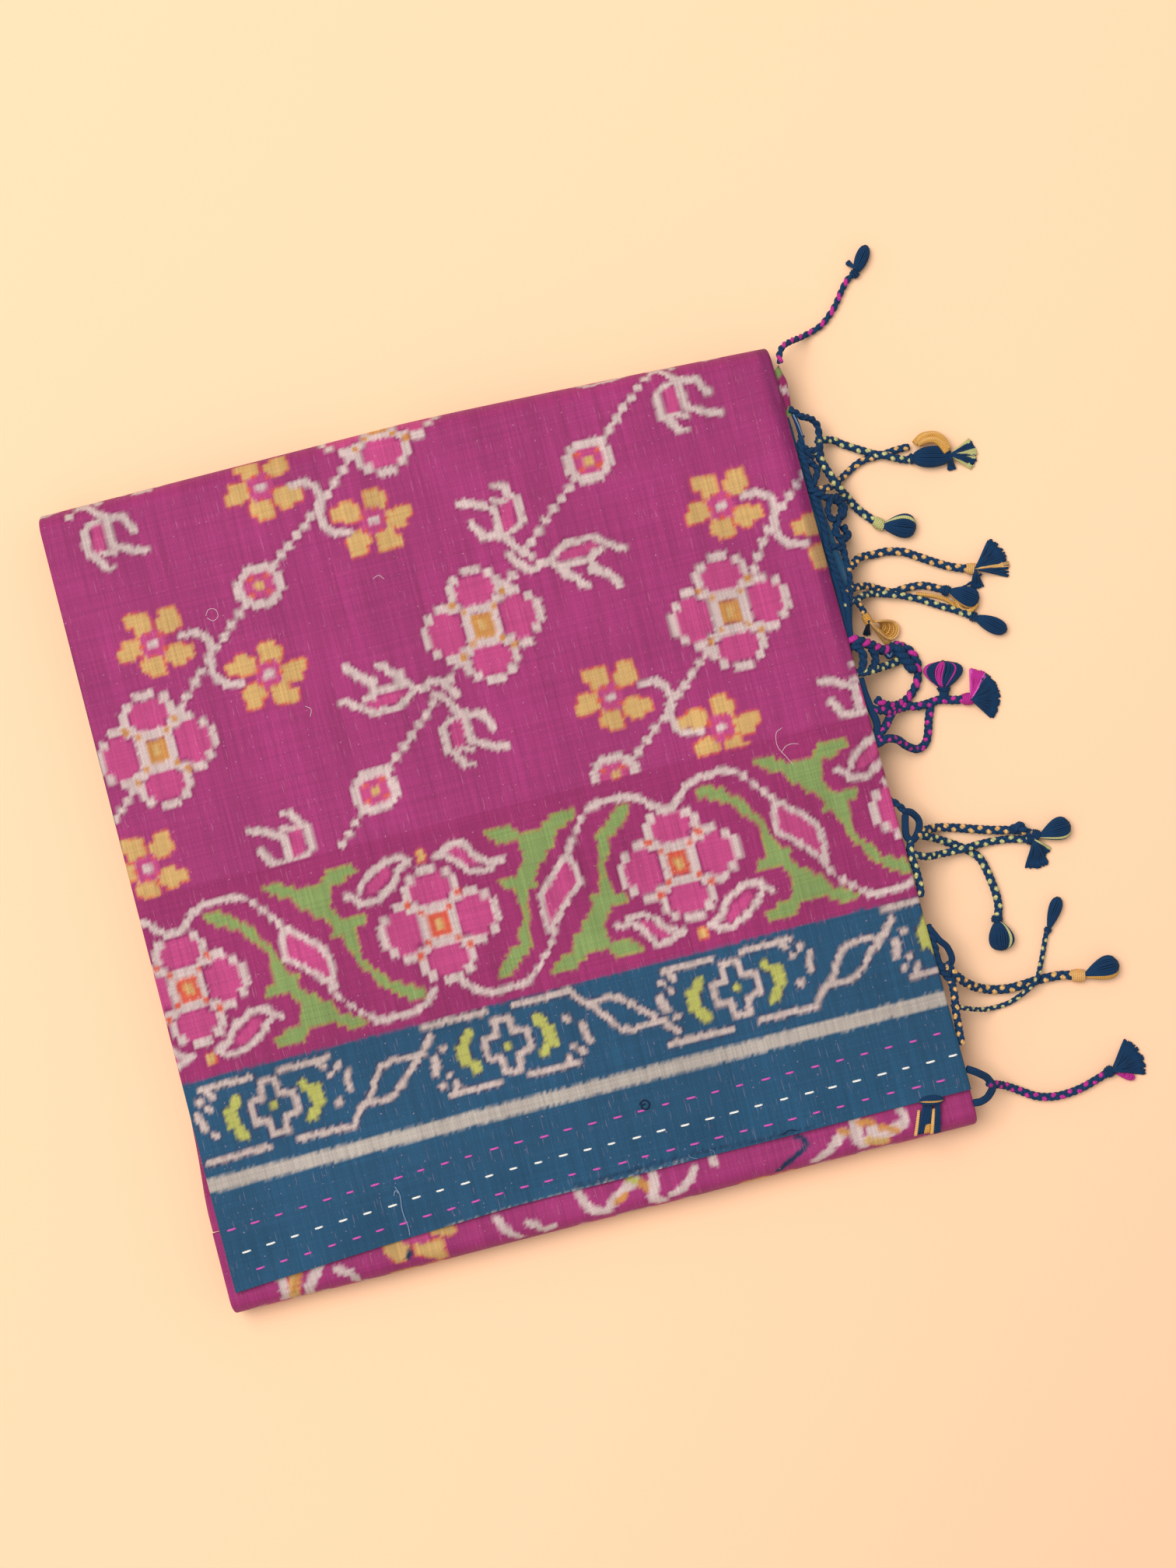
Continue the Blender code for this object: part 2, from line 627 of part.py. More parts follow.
def pointing(direction):
    """The turn that takes +Z to a direction."""
    return Vector(direction).to_track_quat("Z", "Y").to_matrix().to_4x4()


def knot(name, centre, direction, head, parts):
    """The tied head of a tassel, a long rounded bead along the cord."""
    shape = bmesh.new()
    bmesh.ops.create_uvsphere(shape, u_segments=7, v_segments=5, radius=1.0)
    size = Matrix.Diagonal((head.width / 2, head.width / 2, head.length / 2, 1.0))
    place = Matrix.Translation(centre) @ pointing(direction) @ size
    bmesh.ops.transform(shape, matrix=Matrix.Scale(MM, 4) @ place, verts=shape.verts)
    return object_from(name, shape, NAVY, parts)


def lock(name, start, end, radius, tip, parts):
    """A lock of thread ends, a four-sided taper from start to end."""
    run = end - start
    shape = bmesh.new()
    bmesh.ops.create_cone(shape, cap_ends=True, segments=4, radius1=radius, radius2=tip, depth=run.length)
    place = Matrix.Translation((start + end) / 2) @ pointing(run)
    bmesh.ops.transform(shape, matrix=Matrix.Scale(MM, 4) @ place, verts=shape.verts)
    return object_from(name, shape, NAVY, parts)


def tassel(name, line, braid, loose):
    """The head and the fingers at the far end of a braid."""
    heading = line[-1] - line[-2]
    heading.z = 0.0
    heading.normalize()
    head = braid.head
    start = line[-1].copy()
    if head.length:
        centre = start + heading * (head.length / 2 - braid.radius)
        centre.z = max(centre.z, head.width / 2 + REST_CLEAR)
        knot(name + " head", centre, heading, head, loose)
        start = start + heading * (head.length * 0.35)
    for number, finger in enumerate(braid.fingers):
        way = Matrix.Rotation(math.radians(finger.turn), 3, "Z") @ heading
        root = start + way * FINGER_ROOT
        end = start + way * finger.length
        root.z = max(root.z, FINGER_RADIUS + REST_CLEAR + 0.2)
        end.z = FINGER_RADIUS + REST_CLEAR
        lock(f"{name} finger {number}", root, end, FINGER_RADIUS, FINGER_TIP, loose)


def header_strip(strip, parts):
    """A narrow strip along the cloth's end, which the cords of one stretch are knotted into."""
    stations = max(3, round((strip.rear - strip.front) / 8) + 1)

    def place(column, row):
        share = row / (stations - 1)
        y = strip.rear + (strip.front - strip.rear) * share
        out = strip.out_rear + (strip.out_front - strip.out_rear) * share
        if strip.name in ("fringe_lime_braids", "fringe_tan_braids"):
            out = outline(BAND_EDGE, y) + GAP + WALL / 2
        x = right_edge(y) + out + STRIP_WIDTH * column
        return x, y, hang(x, y, FINGER_RADIUS)

    return grid_object(strip.name, 2, stations, place, STRIP_HEIGHT, NAVY, parts)


def fringe(strip, parts, cutters):
    """One header strip with the braids, heads and fingers that hang from it, joined into one body."""
    loose = bpy.data.collections.new(strip.name + " strands")
    cutters.children.link(loose)
    body = header_strip(strip, parts)
    for number, braid in enumerate(BRAIDS):
        if braid.strip != strip.name:
            continue
        name = f"{strip.name} braid {number}"
        line = braid_line(braid)
        tube(name, line, braid.radius, loose)
        tassel(name, line, braid, loose)
    hide_loose(loose)
    join = body.modifiers.new("strands", "BOOLEAN")
    join.operation = "UNION"
    join.operand_type = "COLLECTION"
    join.collection = loose
    join.solver = "EXACT"
    return body


def fold_tassel(parts, cutters):
    """The small tassel that lies on the front fold: a tied head with three locks."""
    loose = bpy.data.collections.new("fold tassel strands")
    cutters.children.link(loose)
    body = knot("fringe_fold_tassel", Vector(FOLD_TASSEL_AT), (1, -0.3, 0), FOLD_TASSEL_HEAD, parts)
    for number, (start, end, radius) in enumerate(FOLD_FINGERS):
        lock(f"fold finger {number}", Vector(start), Vector(end), radius, FOLD_FINGER_TIP, loose)
    hide_loose(loose)
    join = body.modifiers.new("strands", "BOOLEAN")
    join.operation = "UNION"
    join.operand_type = "COLLECTION"
    join.collection = loose
    join.solver = "EXACT"
    return body


def hide_loose(loose):
    """Strands that are joined into a fringe aren't shown by themselves."""
    for strand in loose.objects:
        strand.hide_render = True
        strand.display_type = "WIRE"


def main():
    clear_scene()
    parts = collection("tussar saree")
    cutters = collection("joined strands")
    cutters.hide_render = True
    upper_sheet(parts)
    front_fold(parts)
    left_fold(parts)
    pallu_sheet("pallu_corner", CORNER_EDGE, CORNER_SKEW, MAGENTA, parts, stations=5)
    pallu_sheet("pallu_band", BAND_EDGE, 0.0, BLUE, parts, stations=20)
    folded_plies(parts)
    for strip in STRIPS:
        fringe(strip, parts, cutters)
    fold_tassel(parts, cutters)


main()
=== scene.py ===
"""The looks of a tussar silk saree folded in a flat packet, with its braided end fringe spread out.

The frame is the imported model, in metres. Sizes here are in millimetres unless a name says otherwise, and
are scaled where a mesh is made. X runs along the woven border, Y from the selvedge to the rear fold, and
the origin is the centre of the packet's flat underside.
"""

from __future__ import annotations

import json
import logging
import math
from dataclasses import dataclass, field
from enum import Enum

import bmesh
import bpy
import numpy as np
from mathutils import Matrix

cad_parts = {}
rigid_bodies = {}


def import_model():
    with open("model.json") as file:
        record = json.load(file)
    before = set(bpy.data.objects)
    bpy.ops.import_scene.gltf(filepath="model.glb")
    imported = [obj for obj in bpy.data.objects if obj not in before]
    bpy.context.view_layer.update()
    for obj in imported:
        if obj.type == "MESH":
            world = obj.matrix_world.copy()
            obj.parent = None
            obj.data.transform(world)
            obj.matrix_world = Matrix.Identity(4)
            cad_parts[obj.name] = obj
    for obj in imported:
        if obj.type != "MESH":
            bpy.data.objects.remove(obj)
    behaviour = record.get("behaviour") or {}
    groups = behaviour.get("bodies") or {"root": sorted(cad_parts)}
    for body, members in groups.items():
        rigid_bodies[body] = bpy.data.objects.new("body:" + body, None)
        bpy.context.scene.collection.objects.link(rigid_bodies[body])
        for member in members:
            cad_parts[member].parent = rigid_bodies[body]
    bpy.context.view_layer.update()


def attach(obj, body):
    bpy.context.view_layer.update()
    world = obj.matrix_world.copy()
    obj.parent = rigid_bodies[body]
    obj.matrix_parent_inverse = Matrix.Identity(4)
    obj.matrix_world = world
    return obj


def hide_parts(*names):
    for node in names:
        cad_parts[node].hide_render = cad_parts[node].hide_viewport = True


MM = 0.001
log = logging.getLogger("saree")

Route = tuple[tuple[float, float, float], ...]


def linear(code: str) -> tuple[float, float, float]:
    """Turns an sRGB hex colour to linear light.

    Args:
        code: Six hex digits, red first.

    Returns:
        Red, green and blue from 0 to 1.
    """
    shares = [int(code[i : i + 2], 16) / 255 for i in (0, 2, 4)]
    return tuple(s / 12.92 if s <= 0.04045 else ((s + 0.055) / 1.055) ** 2.4 for s in shares)


def smooth(share: np.ndarray | float) -> np.ndarray | float:
    """Eases a share from 0 to 1, held at both ends."""
    held = np.clip(share, 0.0, 1.0)
    return held * held * (3 - 2 * held)


def add_node(
    tree: bpy.types.NodeTree,
    kind: str,
    settings: dict[str, object] | None = None,
    inputs: dict[str | int, object] | None = None,
) -> bpy.types.Node:
    """Adds a shader node with its settings and what goes into it.

    Args:
        tree: The material's nodes.
        kind: Blender's name for the node type.
        settings: Properties of the node.
        inputs: For each socket, by name or number, a value or the socket to link it to.

    Returns:
        The new node.
    """
    node = tree.nodes.new(kind)
    for name, value in (settings or {}).items():
        setattr(node, name, value)
    for socket, value in (inputs or {}).items():
        if isinstance(value, bpy.types.NodeSocket):
            tree.links.new(value, node.inputs[socket])
        else:
            node.inputs[socket].default_value = value
    return node


def new_material(name: str) -> tuple[bpy.types.Material, bpy.types.Node]:
    """Makes a material and gives it with its Principled shader."""
    made = bpy.data.materials.new(name)
    made.use_nodes = True
    return made, made.node_tree.nodes["Principled BSDF"]


class Dye(Enum):
    """The dyes of the cloth, each with its letter in the tables and its sRGB colour."""

    FIELD = ("f", "942E69")
    BORDER = ("b", "8D2760")
    DEEP = ("d", "7C1F58")
    SHADE = ("s", "7F2257")
    UNDYED = ("W", "BFAAAA")
    PINK = ("P", "AF3F77")
    YELLOW = ("Y", "BF9A62")
    ORANGE = ("O", "B87F45")
    RED = ("R", "C4513F")
    LEAF = ("G", "788F55")
    LEAF_EDGE = ("E", "9C8748")
    BLUE = ("B", "1D4969")
    NAVY = ("N", "12304F")
    LIME = ("L", "A6A757")
    STRIPE = ("S", "A89F99")
    BLUSH = ("U", "B6A5A1")
    MAROON = ("M", "3A3250")

    @property
    def index(self) -> int:
        """The dye's place in the palette."""
        return list(Dye).index(self)


LETTERS = {dye.value[0]: dye for dye in Dye}
PALETTE = np.array([linear(dye.value[1]) for dye in Dye])

Points = tuple[tuple[float, float], ...]
Blocks = tuple[tuple[str, float, float, float, float], ...]
Strokes = tuple[tuple[str, float, Points], ...]

# Blocks of tied cells: dye, place from the middle, half width and half height; each is mirrored four ways
FLOWER: Blocks = (
    ("P", 0, 13.3, 7.2, 2.9), ("P", 0, 13.3, 5.2, 5.3), ("P", 13.7, 0, 3.2, 8.2), ("P", 13.9, 0, 6.2, 5.5),
    ("W", 0, 20.7, 3.7, 1.5), ("W", 6.7, 18.1, 1.7, 1.7), ("W", 8.9, 13.6, 1.5, 3.1), ("W", 21.4, 0, 1.5, 4.4),
    ("W", 18.9, 6.2, 1.6, 1.7), ("W", 13.5, 9.6, 2.6, 1.6), ("W", 8.3, 8.3, 2.4, 1.7), ("W", 5.2, 0, 1.7, 6.6),
    ("W", 0, 6.3, 5.9, 1.8), ("H", 0, 0, 3.8, 4.4), ("Y", 0, 0, 1.4, 2.0), ("H", 9.5, 9.8, 1.2, 1.2),
    ("H", 5.4, 6.0, 1.0, 1.0),
)
BUD: Blocks = (
    ("W", 0, 6.3, 4.7, 1.7), ("W", 7.2, 0, 1.8, 3.5), ("W", 5.2, 4.6, 2.0, 1.8), ("P", 0, 0, 5.5, 3.4),
    ("P", 0, 0, 3.9, 4.7), ("R", 3.4, 2.7, 1.2, 0.8), ("Y", 0, 0, 1.7, 1.6),
)
# The tulips beside a large flower, measured from it; the other half is this one turned half round
TULIPS: Strokes = (
    ("P", 3.4, ((-46.4, -18.4), (-42, -17.8), (-36.4, -17.3))),
    ("W", 2.4, ((-48.9, -16.2), (-46.4, -15.4), (-44.4, -13.9), (-32.4, -13.9), (-30.0, -16.2), (-26.6, -17.2))),
    ("W", 2.5, ((-49.4, -20.0), (-47.4, -21.5), (-37.4, -21.4), (-34.4, -19.8), (-31.4, -17.8))),
    ("W", 2.3, ((-50.6, -18.7), (-53.4, -17.2), (-54.9, -15.3), (-57.4, -14.7))),
    ("W", 2.7, ((-44.9, -11.9), (-46.0, -8.8), (-49.4, -6.9), (-51.4, -4.4), (-52.9, -2.6))),
    ("W", 3.2, ((-44.4, -10.2), (-46.8, -9.2))),
    ("W", 4.0, ((-34.4, -12.4), (-34.6, -10.6))), ("W", 2.5, ((-36.4, -9.2), (-38.2, -7.6), (-38.9, -5.6), (-41.2, -4.7))),
    ("W", 2.6, ((-26.4, -17.1), (-24.4, -15.7), (-20.9, -15.9), (-18.9, -17.9), (-16.9, -20.9), (-15.9, -22.6))),
    ("W", 2.5, ((-23.8, -20.4), (-21.4, -21.9), (-19.4, -24.6), (-17.4, -27.4), (-15.9, -29.4))),
    ("P", 4.2, ((-18.2, -33.6), (-18.8, -37.4), (-19.8, -41.2))),
    ("W", 3.0, ((-14.8, -29.9), (-14.8, -39.9))),
    ("W", 2.7, ((-14.4, -30.6), (-11.4, -30.7), (-8.4, -31.4), (-6.9, -34.4), (-5.2, -37.2))),
    ("W", 2.6, ((-13.6, -40.6), (-10.4, -42.6), (-7.4, -44.2), (-5.0, -44.9), (-2.9, -45.4))),
    ("W", 2.9, ((-23.8, -33.9), (-23.8, -41.6))), ("W", 1.9, ((-22.4, -32.2), (-19.9, -31.1), (-17.4, -30.6))),
    ("W", 2.8, ((-22.0, -43.0), (-20.6, -45.6), (-19.2, -47.9))), ("W", 1.9, ((-18.4, -48.4), (-16.2, -48.6))),
    ("W", 2.0, ((-18.9, -42.2), (-16.4, -43.0), (-14.9, -43.4))),
)
# The joint on a stem with yellow flowers
JOINT: Strokes = (
    ("W", 2.6, ((0.8, 1.5), (1.5, 4), (0.6, 7.4), (-3, 10.2), (-8.4, 10.2))),
    ("W", 2.6, ((0, -1.4), (-0.3, -4), (0.2, -8), (3.6, -11), (9.0, -12.2))),
)
# The yellow flower's five petals, for the flower above a joint and for the one below it
PETALS_ABOVE: Points = ((-3.5, 9.2), (8.0, 7.5), (9.0, -6.3), (-1.8, -8.3), (-9.5, -0.3))
PETALS_BELOW: Points = ((2.6, 8.0), (10.0, -1.0), (3.9, -9.2), (-7.8, -7.0), (-9.8, 5.9))
# Rows of a creeper leaf, one cell deep each: where each stretch of green starts and ends
LEFT_LEAF: tuple[tuple[float, ...], ...] = (
    (-67.4, -56.5, -42.3, -32.2), (-66.2, -55.2, -46, -33.6), (-64.0, -36.5), (-56.2, -41.6), (-55.8, -42.3),
    (-55.4, -43.0), (-55.8, -46.7), (-57.0, -47.4), (-59.0, -50.3), (-66.8, -51.8), (-65.5, -53.2), (-61.9, -52.5),
    (-61.2, -56.5), (-61.2, -57.1), (-61.0, -58.2), (-60.8, -58.2), (-61.0, -58.4), (-62.3, -59), (-63.8, -59.6),
    (-64.4, -59.8), (-64.4, -60.4), (-68.4, -59.7), (-70.6, -61.9), (-72.8, -64.8), (-74.3, -67), (-75, -69.5),
)
RIGHT_LEAF: tuple[tuple[float, ...], ...] = (
    (35.4, 43.5, 59.6, 70.3), (37.4, 46.8, 57.6, 71.0), (40.1, 66.3), (44.8, 60.2), (46.0, 59.5), (46.8, 58.9),
    (50.2, 58.2), (51.5, 59.5), (54.9, 60.6), (56.5, 69.9), (56.9, 69.4), (55.5, 65.6), (59.4, 65.6),
    (60.2, 65.6), (60.9, 65.4), (61.9, 65), (62.3, 65), (62.9, 66.3), (64.3, 68.3), (66.3, 70.3), (67.0, 71.7),
    (67.8, 72.8), (69.6, 76.8), (72.3, 81), (74.2, 84.4), (77.7, 85.1),
)
# The creeper from the middle of an upturned flower
VINE: Points = ((3, 21.4), (6, 23.8), (9, 26.9), (14, 28.6), (24, 28.7), (28, 27.2))
VINE_BEADS: Points = ((31, 24.9), (34, 20.9), (36.5, 17.4), (38.4, 14.6))
VINE_LOW_BEADS: Points = ((51, -13.1), (53, -16.8), (56.5, -21.2), (59.6, -24.4), (63, -27.1))
VINE_LOW: Points = ((65, -28.6), (68, -29.1), (79, -29.1), (84, -26.8), (88, -23.2))
CREEPER_BUD: Points = ((39.5, 12.6), (37.9, 8.5), (37.3, 1.9), (41.5, -1.2), (46, -5.4), (49.6, -9.6), (52.6, -12.4),
                       (53.2, -5.1), (52.5, 0.9), (49, 4.6), (45.2, 8.2), (42.0, 11.6), (39.5, 12.6))
# A leaflet on each side of a downturned flower, outer line, inner line and heart
LEAFLETS: Strokes = (
    ("P", 3.4, ((11.5, 24.6), (15, 22), (17.6, 19.2))),
    ("W", 2.4, ((4.5, 24.4), (8, 25.9), (11.5, 27.4), (15.5, 27.4), (16.8, 24.9), (18.2, 21.9), (20.5, 19.6),
                (23, 17.6), (28, 17.4))),
    ("W", 2.2, ((6.5, 24.4), (10.3, 22.4), (12.6, 20.2), (14.6, 17.4), (17.5, 15.4), (23.5, 15.2))),
    ("P", 3.4, ((-21, 18.6), (-17.6, 21.2), (-14.2, 23.4))),
    ("W", 2.4, ((-30.5, 18.4), (-27.8, 16.9), (-26.5, 14.4), (-19.5, 13.9), (-17.5, 15.9), (-13.5, 17.4),
                (-11.5, 19.9), (-10, 22.9), (-5.5, 24.9))),
    ("W", 2.3, ((-25.5, 18.9), (-23.5, 21.9), (-21, 23.9), (-17.5, 25.9), (-13.5, 27.4), (-8.5, 27.4), (-5.5, 25.4))),
)
# The medallion of the blue border from its middle, and the lozenge that leads from it to the next
MEDALLION: Strokes = (
    ("U", 2.2, ((-3, 9.5), (2.2, 9.8), (3, 7.5), (3, 4.2), (8, 3), (8.5, 0), (8.3, -4), (3.4, -4.7), (2.8, -8.8),
                (2.6, -10.2), (-2.8, -10.2), (-3, -6), (-3.3, -4.7), (-7.8, -4.6), (-8.3, 0), (-8, 3), (-3.3, 3.6),
                (-3, 9.5))),
    ("L", 2.8, ((12.2, 5.8), (13.4, 3.6))), ("L", 4.6, ((16.2, 2.2), (16.3, -1.8))), ("L", 3.4, ((14.4, -5.2), (12.6, -7.4))),
    ("L", 3.2, ((-12.6, 5.6), (-13.8, 3.6))), ("L", 4.6, ((-16.2, 1.2), (-16.4, -2.6))),
    ("L", 3.6, ((-14.8, -5.6), (-13.0, -8.0))), ("L", 2.6, ((0, -0.2), (0, 0.2))),
    ("U", 2.2, ((-24.7, 12.2), (-6.4, 12.4))), ("U", 2.3, ((-22.4, 10.6), (-21.4, 8.8))),
    ("U", 2.2, ((5.5, 12.4), (23.6, 12.4))), ("U", 2.3, ((20.4, 11.0), (21.2, 9.8))),
    ("U", 2.3, ((-28.6, -14.3), (-5.5, -14.3))), ("U", 2.3, ((6.0, -14.0), (27.0, -14.2))),
    ("U", 2.3, ((-26.8, 8.4), (-26.2, 8.0))), ("U", 2.2, ((-23.7, 4.9), (-23.4, 4.7))),
    ("U", 2.8, ((-28.4, 3.2), (-27.2, 0.2), (-26.8, -1.8))), ("U", 2.2, ((-24.0, -5.0), (-23.0, -5.2))),
    ("U", 2.2, ((26.6, 9.0), (26.0, 8.4))), ("U", 2.0, ((23.6, 6.2), (23.0, 6.0))),
    ("U", 2.3, ((29.8, 5.4), (28.8, 2.4), (28.6, -0.8))), ("U", 2.3, ((23.8, -4.0), (23.4, -4.8))),
)
LOZENGE: Strokes = (
    ("U", 2.1, ((28, -12.4), (29.3, -10.8), (31.2, -8.8), (33, -7.4), (41, -8.2), (44.5, -6.4), (47.6, -4.2), (51.2, -0.3),
                (55.4, 2.9), (54.6, 4.7), (46.5, 5.6), (42, 4.2), (39.6, 1.2), (37.2, -2.6), (34.5, -6.0))),
    ("U", 2.3, ((55.4, 4.6), (58.2, 5.3), (60, 8.3), (62.2, 10.6))),
)


@dataclass
class DyedLength:
    """A stretch of tie-dyed cloth, charted in quarter cells before it is woven and folded.

    A tied cell of the pattern is about 2.1 mm, so the marks are strokes and blocks that step by a cell.
    """

    left: float
    right: float
    front: float
    rear: float
    ground: Dye = Dye.FIELD
    seed: int = 7
    part: float = 0.525
    cell: float = 2.1
    warp_slip: float = 0.22
    weft_slip: float = 0.12

    def __post_init__(self) -> None:
        """Lays out the undrawn chart."""
        self.chance = np.random.default_rng(self.seed)
        columns = round((self.right - self.left) / self.part)
        rows = round((self.rear - self.front) / self.part)
        self.chart = np.full((rows, columns), self.ground.index)
        self.base = self.chart.copy()
        self.along = self.chance.normal(0, self.warp_slip, columns // 2 + 1)
        self.aside = self.chance.normal(0, self.weft_slip, rows // 2 + 1)

    def window(self, low_x: float, high_x: float, low_y: float, high_y: float) -> tuple[slice, slice]:
        """The rows and columns between two corners."""
        x = [min(max(round((a - self.left) / self.part), 0), self.chart.shape[1]) for a in (low_x, high_x)]
        y = [min(max(round((a - self.front) / self.part), 0), self.chart.shape[0]) for a in (low_y, high_y)]
        return slice(*y), slice(*x)

    def clear(self, front: float, rear: float) -> None:
        """Takes a band back to the ground colour."""
        place = self.window(self.left, self.right, front, rear)
        self.chart[place] = self.base[place]

    def band(self, front: float, rear: float, dye: Dye) -> None:
        """Dyes the ground from one depth to another."""
        place = self.window(self.left, self.right, front, rear)
        self.chart[place] = dye.index
        self.base[place] = dye.index

    def block(self, x: float, y: float, half_x: float, half_y: float, dye: Dye) -> None:
        """Dyes an upright block round a point."""
        self.chart[self.window(x - half_x, x + half_x, y - half_y, y + half_y)] = dye.index

    def stroke(self, points: Points, width: float, dye: Dye) -> None:
        """Draws a line of tied cells through points, which steps where it slants.

        Args:
            points: Where it goes.
            width: Its width.
            dye: Its colour.
        """
        for start, end in zip(points, points[1:]):
            reach = max(abs(end[0] - start[0]), abs(end[1] - start[1]))
            count = max(1, math.ceil(reach / (0.8 * self.cell)))
            for i in range(count + 1):
                x = start[0] + (end[0] - start[0]) * i / count + self.chance.normal(0, 0.12)
                y = start[1] + (end[1] - start[1]) * i / count + self.chance.normal(0, 0.12)
                self.block(x, y, width / 2, width / 2 * 0.94, dye)

    def strokes(self, table: Strokes, x: float, y: float, sign_x: int = 1, sign_y: int = 1) -> None:
        """Draws a table of strokes from a point, mirrored where a sign is -1."""
        for letter, width, points in table:
            moved = tuple((x + sign_x * a, y + sign_y * b) for a, b in points)
            self.stroke(moved, width, LETTERS[letter])

    def beads(self, points: Points, half: float = 1.45, dye: Dye = Dye.UNDYED) -> None:
        """Draws a stem: blobs with thin necks between."""
        self.stroke(points, 1.3, dye)
        for start, end in zip(points, points[1:]):
            count = max(1, round(math.dist(start, end) / (2.35 * self.cell)))
            for i in range(count + 1):
                x = start[0] + (end[0] - start[0]) * i / count + self.chance.normal(0, 0.15)
                y = start[1] + (end[1] - start[1]) * i / count + self.chance.normal(0, 0.15)
                self.block(x, y, half * 1.12, half, dye)

    def blocks(self, table: Blocks, x: float, y: float, heart: Dye = Dye.ORANGE) -> None:
        """Draws a table of blocks round a point, each of them on all four sides."""
        for letter, out_x, out_y, half_x, half_y in table:
            dye = heart if letter == "H" else LETTERS[letter]
            for sign_x in sorted({1, -1 if out_x else 1}):
                for sign_y in sorted({1, -1 if out_y else 1}):
                    slip_x, slip_y = self.chance.normal(0, 0.22, 2)
                    self.block(x + sign_x * out_x + slip_x, y + sign_y * out_y + slip_y, half_x, half_y, dye)

    def starflower(self, x: float, y: float, petals: Points) -> None:
        """Draws the small yellow flower with its five notched petals.

        Args:
            x: Centre along the border.
            y: Centre across it.
            petals: The middle of each petal from there.
        """
        for out_x, out_y in petals:
            far = math.hypot(out_x, out_y)
            side_x, side_y = -out_y / far, out_x / far
            self.block(x + out_x * 0.74, y + out_y * 0.74, 3.3, 2.9, Dye.YELLOW)
            self.block(x + out_x * 1.12 + side_x * 1.5, y + out_y * 1.12 + side_y * 1.5, 3.0, 2.2, Dye.YELLOW)
            self.block(x + out_x * 0.98 - side_x * 1.9, y + out_y * 0.98 - side_y * 1.9, 2.3, 1.9, Dye.YELLOW)
        self.block(x, y, 4.6, 3.6, Dye.PINK)
        self.block(x, y, 3.4, 4.9, Dye.PINK)
        for out_x, out_y in petals:
            far = math.hypot(out_x, out_y)
            self.block(x + out_x / far * 4.6, y + out_y / far * 4.6, 0.9, 0.7, Dye.RED)
        self.block(x, y, 2.0, 1.4, Dye.UNDYED)

    def fill(self, points: Points, dye: Dye) -> None:
        """Dyes the inside of a closed outline."""
        x = self.left + (np.arange(self.chart.shape[1]) + 0.5)[None, :] * self.part
        y = self.front + (np.arange(self.chart.shape[0]) + 0.5)[:, None] * self.part
        inside = np.zeros(self.chart.shape, bool)
        for (from_x, from_y), (to_x, to_y) in zip(points, points[1:]):
            if from_y != to_y:
                crossing = from_x + (y - from_y) * (to_x - from_x) / (to_y - from_y)
                inside ^= ((from_y > y) != (to_y > y)) & (x < crossing)
        self.chart[inside] = dye.index

    def leaf(self, rows: tuple[tuple[float, ...], ...], x: float, y: float, turned: bool) -> None:
        """Draws a leaf row by row, or the same leaf turned half round.

        Args:
            rows: Where the green starts and ends in each row, rear row first.
            x: The place that the rows are measured from, or its turned place.
            y: The middle of the first row, or its turned place.
            turned: Whether the leaf is turned half round.
        """
        sign = -1 if turned else 1
        for number, row in enumerate(rows):
            middle = y - sign * number * self.cell
            for start, end in zip(row[::2], row[1::2]):
                self.block(x + sign * (start + end) / 2, middle, (end - start) / 2, self.cell / 2, Dye.LEAF)

    def rim(self, dye: Dye, edge: Dye, outward: bool) -> None:
        """Lets another dye show in a thin line where one ends, just inside it or just outside."""
        inside = self.chart == dye.index
        mask = ~inside if outward else inside
        core = mask.copy()
        for axis in (0, 1):
            for step in (1, -1):
                core &= np.roll(mask, step, axis)
        line = mask & ~core
        if outward:
            line &= self.chart == self.base
        self.chart[line] = edge.index

    def colours(self, x: np.ndarray, y: np.ndarray) -> np.ndarray:
        """The linear colour of the cloth at each place, each yarn having slipped a little along itself."""
        column = np.clip(((x - self.left) / self.part / 2).astype(int), 0, self.along.size - 1)
        row = np.clip(((y - self.front) / self.part / 2).astype(int), 0, self.aside.size - 1)
        slipped_x, slipped_y = x + self.aside[row], y + self.along[column]
        total = np.zeros((*x.shape, 3))
        for step_x in (-0.22, 0.22):
            for step_y in (-0.3, 0.0, 0.3):
                i = np.clip(((slipped_x + step_x - self.left) / self.part).astype(int), 0, self.chart.shape[1] - 1)
                j = np.clip(((slipped_y + step_y - self.front) / self.part).astype(int), 0, self.chart.shape[0] - 1)
                total += PALETTE[self.chart[j, i]] / 6
        return total


